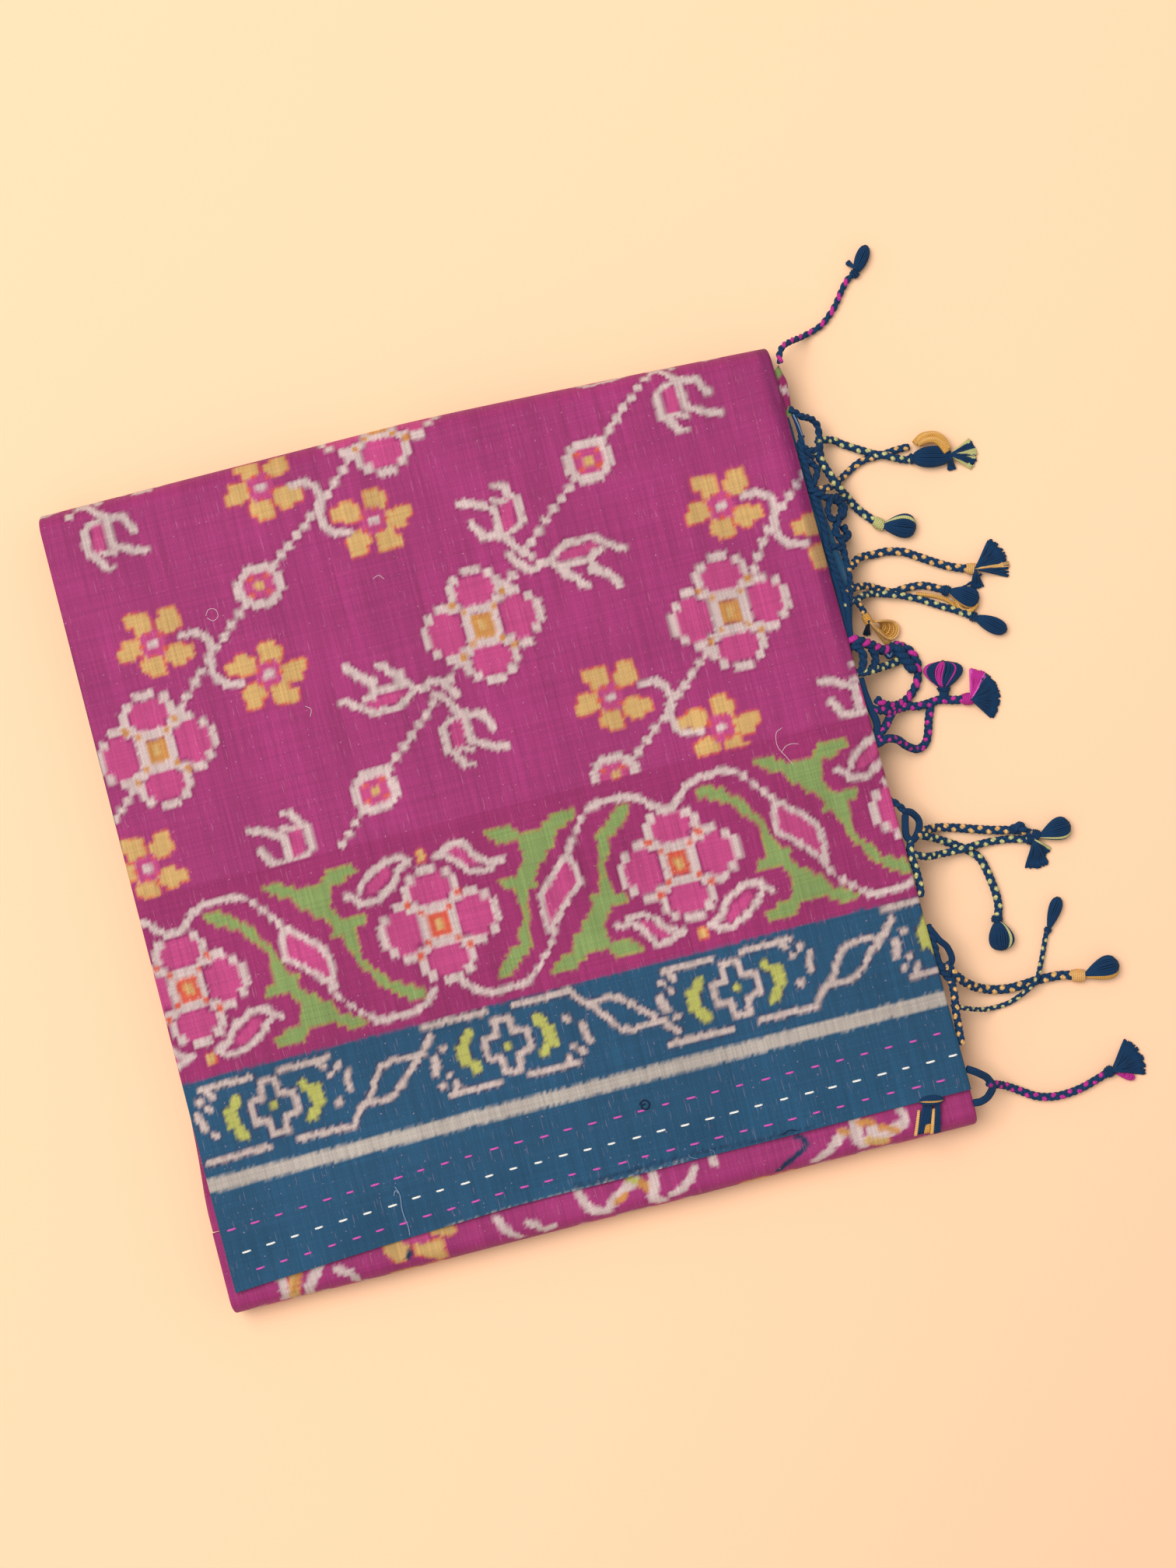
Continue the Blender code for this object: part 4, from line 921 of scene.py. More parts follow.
@dataclass
class FrontPly:
    """The magenta ply below the selvedge, which comes out from under the panel and folds down."""

    packet: Packet
    pitch: float = 1.1
    left: float = -142.5
    right: float = 142.2
    front: float = -149.7
    top: float = 16.9
    roll: float = 6.0
    tuck: float = -118.0

    def build(self, material: bpy.types.Material) -> bpy.types.Object:
        """Builds the ply with its pattern."""
        packet = self.packet
        inward, deep, around = packet.turned_side(self.pitch)
        radius = packet.wall + packet.gap / 2
        share = np.linspace(self.left + radius, self.right - radius, 259)
        out, height, normal_y, normal_z, arc = packet.roll(self.top, self.roll, 22)
        shoulder = self.front + self.roll
        level = np.linspace(self.tuck, shoulder, 25)
        y = np.concatenate([level, shoulder - out])
        v = np.concatenate([level, shoulder - arc])
        z = np.concatenate([np.full(level.size, self.top), height])
        lean_y = np.concatenate([np.zeros(level.size), -normal_y])
        lean_z = np.concatenate([np.ones(level.size), normal_z])
        x = np.concatenate([self.left + inward, share, self.right - inward[::-1]])
        u = np.concatenate([self.left + radius - around, share, self.right - radius + around[::-1]])
        side = np.concatenate([deep, np.zeros(share.size), deep[::-1]])
        grid_x = np.repeat(x[None, :], y.size, axis=0)
        wave = 0.1 * np.sin(grid_x / 17.0) * smooth((self.tuck - y[:, None] - 8) / 8) * (side == 0)
        grid_y = y[:, None] - lean_y[:, None] * (side[None, :] - wave)
        grid_z = z[:, None] - lean_z[:, None] * (side[None, :] - wave)
        points = np.stack([grid_x, grid_y, grid_z], axis=2)
        grid_u = np.repeat(u[None, :], y.size, axis=0)
        grid_v = np.repeat(v[:, None], x.size, axis=1)
        dye = FrontPattern().draw().colours(grid_u, grid_v)
        return cloth_piece("front_ply", points, dye, np.stack([grid_u, grid_v], axis=2), material, turned=True)


@dataclass
class LeftPly:
    """The fold that stands out at the left beside the borders, bent round like a hairpin."""

    packet: Packet
    out: float = 3.2
    start: float = -60.0
    end: float = -117.6
    top: float = 16.9
    height: float = 7.4
    tuck: float = -134.2

    def build(self, material: bpy.types.Material) -> bpy.types.Object:
        """Builds the fold."""
        y = np.linspace(self.start, self.end, 56)[:, None]
        outer_x, outer_z = self.skin(y, 0.0)
        inner_x, inner_z = self.skin(y, self.packet.wall)
        x = np.concatenate([outer_x, inner_x[:, ::-1]], axis=1)
        z = np.concatenate([outer_z, inner_z[:, ::-1]], axis=1)
        grid_y = np.repeat(y, x.shape[1], axis=1)
        run = np.cumsum(np.hypot(np.diff(x, axis=1, prepend=x[:, :1]), np.diff(z, axis=1, prepend=z[:, :1])), axis=1)
        dye = np.empty((*x.shape, 3))
        dye[:] = PALETTE[Dye.BORDER.index]
        dye[grid_y[:, :] < -105] = PALETTE[Dye.FIELD.index]
        return cloth_piece("left_ply", np.stack([x, grid_y, z], axis=2), dye,
                           np.stack([run, grid_y], axis=2), material, turned=True, closed=True)

    def skin(self, y: np.ndarray, depth: float) -> tuple[np.ndarray, np.ndarray]:
        """One side of the cloth, as places across and heights, at a depth below its outer skin."""
        radius = self.height / 2
        middle = self.top - radius
        share = (self.start - y) / (self.start - self.end)
        outer = self.packet.left - self.out * smooth(share) + 0.12 * np.sin(y / 5.3) - 0.12
        angle = np.radians(np.linspace(90, -90, 15))[None, :]
        bend_x = np.minimum(outer + radius - (radius - depth) * np.cos(angle), self.tuck)
        bend_z = middle + (radius - depth) * np.sin(angle) + 0 * y
        leg = np.linspace(0, 1, 4)[None, :-1]
        leg_x = self.tuck + (bend_x[:, :1] - self.tuck) * leg
        leg_z = np.full(leg_x.shape, radius - depth)
        x = np.concatenate([leg_x, bend_x, leg_x[:, ::-1]], axis=1)
        return x, np.concatenate([middle + leg_z, bend_z, middle - leg_z], axis=1)


@dataclass
class PalluPly:
    """A stretch of the end ply that shows past the right edge, tucked in at one side and sagging at the other."""

    packet: Packet
    name: str
    edges: tuple[tuple[float, float], ...]
    skew: float
    ground: Dye
    patches: tuple[tuple[float, float, Dye], ...] = ()
    top: float = 17.0
    tuck: float = 126.0
    overhang: float = 138.0
    sag: float = 0.38

    def build(self, material: bpy.types.Material) -> bpy.types.Object:
        """Builds the ply as a thin closed wall."""
        depths = np.array([edge[0] for edge in self.edges])
        outs = np.array([edge[1] for edge in self.edges])
        rear, front = depths[0], depths[-1]
        y = np.linspace(rear, front, max(8, round((rear - front) / 1.3)))[:, None]
        outer = self.packet.right_edge(y) + np.interp(y, depths[::-1], outs[::-1])
        outer = outer + 0.25 * np.sin(y / 3.1) * np.sin(y / 7.7)
        across = np.linspace(0, 1, 16)[None, :]
        x = self.tuck + (outer - self.tuck) * across
        share = (rear - y) / (rear - front)
        deep = y - self.skew * (1 - share) * (1 - across)
        z = self.top - self.sag * np.maximum(0, x - self.overhang) - 0.02
        under = z[:, ::-1] - self.packet.wall
        lip = z[:, -1:] - self.packet.wall / 2
        grid_x = np.concatenate([x, x[:, -1:] + 0.12, x[:, ::-1]], axis=1)
        grid_y = np.concatenate([deep, deep[:, -1:], deep[:, ::-1]], axis=1)
        grid_z = np.concatenate([z, lip, under], axis=1)
        dye = np.empty((*grid_x.shape, 3))
        dye[:] = PALETTE[self.ground.index]
        for low, high, colour in self.patches:
            ragged = 0.5 * np.sin(grid_x * 5.1)
            dye[(grid_y > low + ragged) & (grid_y < high + ragged)] = PALETTE[colour.index]
        return cloth_piece(self.name, np.stack([grid_x, grid_y, grid_z], axis=2), dye,
                           np.stack([grid_x, grid_y], axis=2), material, turned=True, closed=True)


@dataclass
class HiddenPlies:
    """All the plies that don't show from above, one solid whose sides are the folded edges of many leaves."""

    packet: Packet
    leaves: int = 15
    foot: float = 15.3
    corner: float = 4.0
    front: float = -149.7
    front_roll: float = 6.0
    front_top: float = 16.9
    clear: float = 1.9
    seed: int = 5

    def build(self, material: bpy.types.Material) -> bpy.types.Object:
        """Builds the stack of leaves as one closed skin."""
        chance = np.random.default_rng(self.seed)
        shape = bmesh.new()
        dye_layer = shape.verts.layers.float_color.new("dye")
        flat = shape.loops.layers.uv.new("cloth")
        rings = []
        for z, leaf, bulge in self.levels():
            ring = []
            for x, y, around in self.ring(z, leaf, bulge, chance):
                vert = shape.verts.new((x * MM, y * MM, z * MM))
                vert[dye_layer] = (*self.dye(x, y, leaf, around), 1.0)
                ring.append((vert, around))
            rings.append(ring)
        for low, high in zip(rings, rings[1:]):
            for i, (start, along) in enumerate(low):
                after = (i + 1) % len(low)
                face = shape.faces.new((start, low[after][0], high[after][0], high[i][0]))
                for loop in face.loops:
                    loop[flat].uv = (along * MM, loop.vert.co.z)
        for ring, turned in ((rings[0], True), (rings[-1], False)):
            verts = [vert for vert, _ in ring]
            face = shape.faces.new(verts[::-1] if turned else verts)
            for loop in face.loops:
                loop[flat].uv = (loop.vert.co.x, loop.vert.co.y)
        mesh = bpy.data.meshes.new("inner_plies")
        shape.to_mesh(mesh)
        shape.free()
        mesh.shade_smooth()
        mesh.set_sharp_from_angle(angle=math.radians(65))
        mesh.materials.append(material)
        made = bpy.data.objects.new("inner_plies", mesh)
        bpy.context.scene.collection.objects.link(made)
        return made

    def levels(self) -> list[tuple[float, int, float]]:
        """The height of each ring, the leaf that it is on, and how far the leaf's fold bulges there."""
        rows = [(0.0, 0, 0.25)]
        thick = self.foot / self.leaves
        for leaf in range(self.leaves):
            for share in (0.12, 0.5, 0.88):
                rows.append((thick * (leaf + share), leaf, 1.0 if share == 0.5 else 0.55))
            rows.append((thick * (leaf + 1), leaf, 0.0))
        return rows

    def ring(
        self, z: float, leaf: int, bulge: float, chance: np.random.Generator
    ) -> list[tuple[float, float, float]]:
        """One ring of points, as places and how far round they are."""
        packet = self.packet
        inset = 0.5 + 0.9 * math.sin(leaf * 2.3) ** 2
        left_in = inset + 0.5 * (1 - bulge)
        right_in = 1.4 + inset + 0.6 * (1 - bulge) + (4.0 if z > 12.5 else 0.0)
        rear_in = self.reach_in(z, packet.top, packet.rear_roll)
        front_in = self.reach_in(z, self.front_top, self.front_roll)
        points = []
        around = 0.0
        low, high = self.front + front_in, packet.rear + 0.0 - rear_in

        def left(y: float) -> float:
            bent = float(smooth((-16.0 - y) / 22.0))
            tucked = -133.9
            base = packet.left + left_in + 0.35 * math.sin(y / 9.0 + leaf * 1.7) + 0.2 * math.sin(y / 3.7 + leaf)
            return base + (tucked - base) * bent * (z > 9.2)

        def right(y: float) -> float:
            wave = 0.35 * math.sin(y / 8.0 + leaf * 2.1) + 0.2 * math.sin(y / 3.1 + leaf)
            return float(packet.right_edge(y)) - right_in + wave

        def rear(x: float) -> float:
            return float(packet.rear_edge(np.array(x))) - rear_in

        across, deep = 40, 100
        for i in range(across):
            x = left(low) + self.corner + (right(low) - left(low) - 2 * self.corner) * i / (across - 1)
            points.append((x, low))
        for i in range(deep):
            y = low + self.corner + (rear(137.0) - low - 2 * self.corner) * i / (deep - 1)
            points.append((right(y), y))
        for i in range(across):
            share = i / (across - 1)
            start, end = right(high) - self.corner, left(high) + self.corner
            x = start + (end - start) * share
            points.append((x, rear(x)))
        for i in range(deep):
            y = high - self.corner + (low - high + 2 * self.corner) * i / (deep - 1)
            points.append((left(y), y))
        ring = []
        previous = points[0]
        for place in points:
            around += math.dist(place, previous)
            previous = place
            ring.append((*place, around))
        return ring

    def reach_in(self, z: float, top: float, roll: float) -> float:
        """How far inside a rolled edge the leaves end at a height."""
        middle = top / 2
        share = min(1.0, abs(z - middle) / (middle - 1.3))
        return roll + self.clear + 0.4 - (roll - 1.7) * math.sqrt(1 - share * share)

    def dye(self, x: float, y: float, leaf: int, around: float) -> tuple[float, float, float]:
        """The colour of a leaf's folded edge, which is a stretch of border on some of the leaves."""
        if y < -66 and leaf % 4 == 1:
            return tuple(PALETTE[Dye.NAVY.index])
        if leaf in (12, 13) and x < 0 and 27 < y < 101:
            return tuple(PALETTE[Dye.NAVY.index])
        if leaf % 5 == 2 and math.sin(y / 11.0 + leaf) > 0.93:
            return tuple(PALETTE[Dye.UNDYED.index])
        return tuple(PALETTE[Dye.DEEP.index if leaf % 2 else Dye.BORDER.index])


class Yarn(Enum):
    """The thread colours of the fringe and the sewing."""

    NAVY = "0E3459"
    DARK = "092441"
    LIME = "BDBB80"
    TAN = "D6A768"
    GOLD = "C9964A"
    MAGENTA = "B52C8D"
    PINK = "CF58B2"
    WHITE = "F2F0EC"
    BLUE = "6F86A8"


@dataclass(frozen=True)
class Head:
    """A tied head: threads folded over a filling, narrow at the cord and wide at its round end.

    It points a number of degrees to the left of the packet's right, and each rim is a stretch of coloured
    threads, in degrees round the head from its left side over its top.
    """

    way: float
    length: float
    width: float
    depth: float = 5.0
    trim: Yarn = Yarn.NAVY
    rims: tuple[tuple[float, float], ...] = ()
    fullness: float = 0.45

    def half_width(self, share: np.ndarray) -> np.ndarray:
        """Half the width at a share of the length, from -1 at the cord to 1 at the round end."""
        swell = 1 + self.fullness * share
        return self.width / 2 * swell * np.sqrt(1 - share**2) / (1 + 0.5 * self.fullness**2)


@dataclass
class ThreadWork:
    """Gathers threads and knots, and makes one piece of them."""

    name: str
    points: list[np.ndarray] = field(default_factory=list)
    faces: list[tuple[int, ...]] = field(default_factory=list)
    colours: list[np.ndarray] = field(default_factory=list)
    flat: list[np.ndarray] = field(default_factory=list)
    count: int = 0

    def thread(self, line: np.ndarray, radius: float | np.ndarray, yarn: Yarn, sides: int = 6,
               accent: Yarn | None = None, shown: np.ndarray | None = None) -> None:
        """Adds a thread with closed ends along a line.

        Args:
            line: Its points, in millimetres.
            radius: Its radius, or one for each point.
            yarn: Its colour.
            sides: How many sides it has.
            accent: A second colour that takes over in places.
            shown: At which points the second colour shows.
        """
        line = np.asarray(line, float)
        size = np.broadcast_to(np.asarray(radius, float), len(line))
        ahead = np.gradient(line, axis=0)
        ahead /= np.maximum(np.linalg.norm(ahead, axis=1, keepdims=True), 1e-9)
        side = self.carried(ahead)
        up = np.cross(side, ahead)
        run = np.concatenate([[0], np.cumsum(np.linalg.norm(np.diff(line, axis=0), axis=1))])
        angle = np.arange(sides) * 2 * np.pi / sides
        ring = side[:, None, :] * np.cos(angle)[None, :, None] + up[:, None, :] * np.sin(angle)[None, :, None]
        tube = (line[:, None, :] + ring * size[:, None, None]).reshape(-1, 3)
        tip = line[[0, -1]] + ahead[[0, -1]] * size[[0, -1], None] * np.array([[-0.5], [0.5]])
        start = self.count
        for row in range(len(line) - 1):
            for i in range(sides):
                after = (i + 1) % sides
                low, high = start + row * sides, start + (row + 1) * sides
                self.faces.append((low + i, low + after, high + after, high + i))
        last = start + (len(line) - 1) * sides
        end = start + len(tube)
        for i in range(sides):
            after = (i + 1) % sides
            self.faces.append((end, start + after, start + i))
            self.faces.append((end + 1, last + i, last + after))
        self.points.append(np.concatenate([tube, tip]))
        colour = np.tile(linear(yarn.value), (len(tube) + 2, 1))
        if accent is not None and shown is not None:
            colour[:len(tube)][np.repeat(shown, sides)] = linear(accent.value)
        self.colours.append(colour)
        round_share = np.tile(np.arange(sides) / sides, len(line))
        along = np.repeat(run, sides)
        self.flat.append(np.concatenate([np.stack([along * MM, round_share], 1), [[0, 0], [run[-1] * MM, 0]]]))
        self.count += len(tube) + 2

    @staticmethod
    def carried(ahead: np.ndarray) -> np.ndarray:
        """A sideways direction at each point of a line, carried along without twisting."""
        seed = np.cross(ahead[0], (0.0, 0.0, 1.0))
        if np.linalg.norm(seed) < 0.05:
            seed = np.cross(ahead[0], (0.0, 1.0, 0.0))
        sides = [seed / np.linalg.norm(seed)]
        for way in ahead[1:]:
            turned = sides[-1] - way * float(sides[-1] @ way)
            sides.append(turned / max(np.linalg.norm(turned), 1e-9))
        return np.array(sides)

    def filling(self, centre: np.ndarray, way: np.ndarray, head: Head) -> None:
        """Adds the dark filling under the threads of a tied head.

        Args:
            centre: The middle of the head, in millimetres.
            way: The direction from the cord to the head's round end.
            head: The head's shape.
        """
        share = np.linspace(-0.97, 0.97, 11)
        line = centre[None, :] + way[None, :] * (share * head.length * 0.485)[:, None]
        self.thread(line, head.half_width(share) * 0.86, Yarn.DARK, 12)
        points = self.points[-1]
        points[:, 2] = centre[2] + (points[:, 2] - centre[2]) * head.depth / head.width

    def piece(self, material: bpy.types.Material) -> bpy.types.Object:
        """Makes the piece."""
        mesh = bpy.data.meshes.new(self.name)
        points = np.concatenate(self.points)
        points[:, 2] = np.maximum(points[:, 2], 0.0)
        mesh.from_pydata((points * MM).tolist(), [], self.faces)
        colour = mesh.color_attributes.new("yarn", "FLOAT_COLOR", "POINT")
        full = np.ones((len(points), 4), np.float32)
        full[:, :3] = np.concatenate(self.colours)
        colour.data.foreach_set("color", full.ravel())
        corner = np.zeros(len(mesh.loops), np.int32)
        mesh.loops.foreach_get("vertex_index", corner)
        layer = mesh.uv_layers.new(name="cloth")
        layer.data.foreach_set("uv", np.concatenate(self.flat)[corner].astype(np.float32).ravel())
        mesh.shade_smooth()
        mesh.materials.append(material)
        made = bpy.data.objects.new(self.name, mesh)
        bpy.context.scene.collection.objects.link(made)
        return made


def eased(points: np.ndarray, step: float) -> np.ndarray:
    """A smooth line through route points.

    Args:
        points: The route, in millimetres.
        step: How far apart the line's points are.

    Returns:
        The line's points.
    """
    ends = np.concatenate([[2 * points[0] - points[1]], points, [2 * points[-1] - points[-2]]])
    line = []
    for before, start, end, after in zip(ends, ends[1:], ends[2:], ends[3:]):
        count = max(1, round(float(np.linalg.norm(end - start)) / step))
        for t in np.arange(count) / count:
            line.append(0.5 * (2 * start + (end - before) * t
                               + (2 * before - 5 * start + 4 * end - after) * t * t
                               + (3 * start - before - 3 * end + after) * t**3))
    return np.array([*line, points[-1]])


class Work(Enum):
    """How a cord of the fringe is made."""

    BRAID = "three strands, braided flat"
    TWIST = "two strands, twisted"
    BUNDLE = "many fine threads laid together"


@dataclass(frozen=True)
class Brush:
    """Loose thread ends: directions from and to, length, colours, start along the head, and looped or cut."""

    start: float
    end: float
    length: float
    main: Yarn = Yarn.NAVY
    trim: Yarn = Yarn.NAVY
    at: float = 0.35
    looped: bool = False


@dataclass(frozen=True)
class Cord:
    """One braid or looped cord of the fringe, on the same route as its solid."""

    radius: float
    route: Route
    work: Work = Work.BRAID
    accent: Yarn = Yarn.LIME
    main: Yarn = Yarn.NAVY
    head: Head | None = None
    neck: Yarn = Yarn.NAVY
    neck_length: float = 1.6
    brushes: tuple[Brush, ...] = ()


@dataclass
class FringeMaker:
    """Braids, twists and ties the cords of the fringe."""

    packet: Packet
    edge_z: float = 16.9
    reach: float = 18.0
    clear: float = 0.45
    pitch: float = 6.6
    seed: int = 3

    def __post_init__(self) -> None:
        """Sets the repeatable chance that varies the threads."""
        self.chance = np.random.default_rng(self.seed)

    def hang(self, x: float, y: float, radius: float) -> float:
        """The height of a cord's centre: level at the packet's edge, then sagging to the table."""
        rest = radius + self.clear
        out = (x - float(self.packet.right_edge(y)) - self.packet.wall) / self.reach
        return rest + (self.edge_z - rest) * (1 - float(smooth(out)))

    def centre_line(self, cord: Cord) -> np.ndarray:
        """The cord's centre line, smooth, with close points."""
        points = [(x, y, self.hang(x, y, cord.radius) + lift) for x, y, lift in cord.route]
        return eased(np.array(points), 0.5)

    def frames(self, line: np.ndarray) -> tuple[np.ndarray, np.ndarray, np.ndarray]:
        """The run along a line, its sideways directions and its upward directions."""
        ahead = np.gradient(line, axis=0)
        ahead /= np.linalg.norm(ahead, axis=1, keepdims=True)
        side = np.cross(ahead, (0.0, 0.0, 1.0))
        side /= np.maximum(np.linalg.norm(side, axis=1, keepdims=True), 1e-6)
        up = np.cross(side, ahead)
        run = np.concatenate([[0], np.cumsum(np.linalg.norm(np.diff(line, axis=0), axis=1))])
        return run, side, up

    def lay(self, work: ThreadWork, cord: Cord) -> None:
        """Adds a cord, its head and its brushes to the work."""
        line = self.centre_line(cord)
        run, side, up = self.frames(line)
        if cord.work is Work.BRAID:
            self.braid(work, cord, line, run, side, up)
        elif cord.work is Work.TWIST:
            self.twist(work, cord, line, run, side, up)
        else:
            self.bundle(work, cord, line, run, side, up)
        heading = line[-1] - line[-7]
        heading[2] = 0
        heading /= np.linalg.norm(heading)
        self.tassel(work, cord, line[-1], heading)

    def braid(self, work: ThreadWork, cord: Cord, line: np.ndarray, run: np.ndarray, side: np.ndarray,
              up: np.ndarray) -> None:
        """Adds three strands that cross over one another by turns."""
        strand = cord.radius * 0.56
        for k in range(3):
            turn = 2 * np.pi * (run / self.pitch + k / 3)
            path = (line + side * (cord.radius * 0.46 * np.sin(turn))[:, None]
                    + up * (cord.radius * 0.34 * np.sin(2 * turn))[:, None])
            on_top = np.sin(2 * turn) > 0.5
            work.thread(path, strand, cord.main, 7, cord.accent if k == 0 else None, on_top)

    def twist(self, work: ThreadWork, cord: Cord, line: np.ndarray, run: np.ndarray, side: np.ndarray,
              up: np.ndarray) -> None:
        """Adds two strands twisted about each other."""
        for k in range(2):
            turn = 2 * np.pi * (run / (self.pitch * 0.9) + k / 2)
            path = (line + side * (cord.radius * 0.4 * np.cos(turn))[:, None]
                    + up * (cord.radius * 0.4 * np.sin(turn))[:, None])
            on_top = np.sin(turn) > 0.45
            work.thread(path, cord.radius * 0.62, cord.main, 7, cord.accent if k == 0 else None, on_top)

    def bundle(self, work: ThreadWork, cord: Cord, line: np.ndarray, run: np.ndarray, side: np.ndarray,
               up: np.ndarray) -> None:
        """Adds a loose bundle of fine threads."""
        for k in range(9):
            angle = 2 * np.pi * k / 9 + run / 9.0
            out = cord.radius * 0.62
            path = (line + side * (out * np.cos(angle))[:, None] + up * (out * 0.8 * np.sin(angle))[:, None])
            work.thread(path, cord.radius * 0.36, cord.accent if k in (2, 6) else cord.main, 5)

    def tassel(self, work: ThreadWork, cord: Cord, end: np.ndarray, heading: np.ndarray) -> None:
        """Adds the tied head at the end of a cord, and the loose thread ends beside it.

        Args:
            work: The piece that takes the threads.
            cord: The cord that ends here.
            end: The cord's last point.
            heading: The cord's last direction.
        """
        start = end + heading * cord.neck_length * 0.7
        if cord.head:
            way = self.level(cord.head.way)
            start = end + heading * (cord.neck_length - 0.4)
            centre = start + way * cord.head.length / 2
            centre[2] = max(centre[2], cord.head.depth / 2 + self.clear)
            work.filling(centre, way, cord.head)
            self.wound(work, centre, way, cord)
        if cord.head or cord.brushes:
            self.tie(work, end, heading, cord.radius * 1.1, cord.neck_length, cord.neck)
        for brush in cord.brushes:
            root = start + self.level(cord.head.way) * cord.head.length * brush.at if cord.head else start
            self.brush(work, brush, root)

    @staticmethod
    def level(degrees: float) -> np.ndarray:
        """A level direction, so many degrees to the left of the packet's right."""
        return np.array([math.cos(math.radians(degrees)), math.sin(math.radians(degrees)), 0.0])

    def wound(self, work: ThreadWork, centre: np.ndarray, way: np.ndarray, cord: Cord) -> None:
        """Adds the threads that fold over a head from end to end.

        Args:
            work: The piece that takes the threads.
            centre: The middle of the head.
            way: The direction from the cord to the head's round end.
            cord: The cord whose head it is.
        """
        head = cord.head
        up = np.array([0.0, 0.0, 1.0])
        aside = np.array([-way[1], way[0], 0.0])
        count = max(18, round(head.width * 3.6))
        share = np.linspace(-0.985, 0.985, 13)
        for k in range(count):
            angle = 2 * math.pi * (k + 0.3 * self.chance.random()) / count
            turn = angle + np.linspace(-0.2, 0.2, 13)
            out = head.half_width(share) - 0.1
            path = (centre + way * (share * head.length / 2)[:, None] + aside * (out * np.cos(turn))[:, None]
                    + up * (out * np.sin(turn) * head.depth / head.width)[:, None])
            trimmed = any(low <= math.degrees(angle) <= high for low, high in head.rims)
            work.thread(path, 0.38, head.trim if trimmed else cord.main, 5)

    def tie(self, work: ThreadWork, centre: np.ndarray, heading: np.ndarray, radius: float, length: float,
            yarn: Yarn) -> None:
        """Adds the turns of thread wound tight round a cord's end.

        Args:
            work: The piece that takes the thread.
            centre: Where the turns start.
            heading: The cord's direction.
            radius: How far the turns are from the cord's middle.
            length: How long the wound stretch is.
            yarn: Its colour.
        """
        turns = max(2.0, length / 0.62)
        count = round(turns * 12)
        angle = np.linspace(0, 2 * np.pi * turns, count)
        up = np.array([0.0, 0.0, 1.0])
        aside = np.array([-heading[1], heading[0], 0.0])
        swell = radius * (0.9 + 0.22 * np.sin(np.linspace(0, np.pi, count)))
        path = (centre + heading * np.linspace(-0.6, length, count)[:, None]
                + aside * (swell * np.cos(angle))[:, None] + up * (swell * np.sin(angle))[:, None])
        work.thread(path, 0.42, yarn, 5)

    def brush(self, work: ThreadWork, brush: Brush, start: np.ndarray) -> None:
        """Adds a fan of cut thread ends, or of loops.

        Args:
            work: The piece that takes the threads.
            brush: The fan's directions, length and colours.
            start: Where the threads leave the cord.
        """
        count = 9 if brush.looped else max(14, round(abs(brush.end - brush.start) * brush.length * 0.05) + 12)
        for k in range(count):
            share = k / (count - 1)
            drift = self.chance.normal(0, 1.4)
            length = brush.length * (0.94 + 0.1 * self.chance.random())
            rise = 0.4 + 2.4 * self.chance.random()
            if brush.looped:
                path = self.loop(brush, start, 0.45 + 0.55 * share, rise)
            else:
                way = self.level(brush.start + (brush.end - brush.start) * share + drift)
                t = np.linspace(0, 1, 7)
                path = start + way * (length * t)[:, None]
                height = ((start[2] - self.clear) * (1 - t) ** 1.5 + rise * np.sin(np.pi * np.minimum(1, t + 0.25))
                          + 0.8)
                path[:, 2] = np.maximum(height, 0.85)
            edge = share < 0.12 or share > 0.88
            work.thread(path, 0.44, brush.trim if edge else brush.main, 5)

    def loop(self, brush: Brush, start: np.ndarray, size: float, rise: float) -> np.ndarray:
        """The line of one thread that goes out and comes back.

        Args:
            brush: The loops' directions and length.
            start: Where the thread leaves the cord.
            size: The loop's share of the full size.
            rise: How far it lifts off the table.

        Returns:
            The points of its line.
        """
        way = self.level((brush.start + brush.end) / 2)
        across = np.array([-way[1], way[0], 0.0])
        half = brush.length * math.tan(math.radians(abs(brush.end - brush.start) / 2)) * size
        t = np.linspace(0.04, 0.96, 15)
        path = (start + way * (brush.length * size * np.sin(np.pi * t) ** 0.8)[:, None]
                + across * (half * -np.sin(2 * np.pi * t))[:, None])
        path[:, 2] = np.maximum(start[2] * (1 - np.sin(np.pi * t)), 0.9 + rise * np.sin(np.pi * t) * 0.7)
        return path


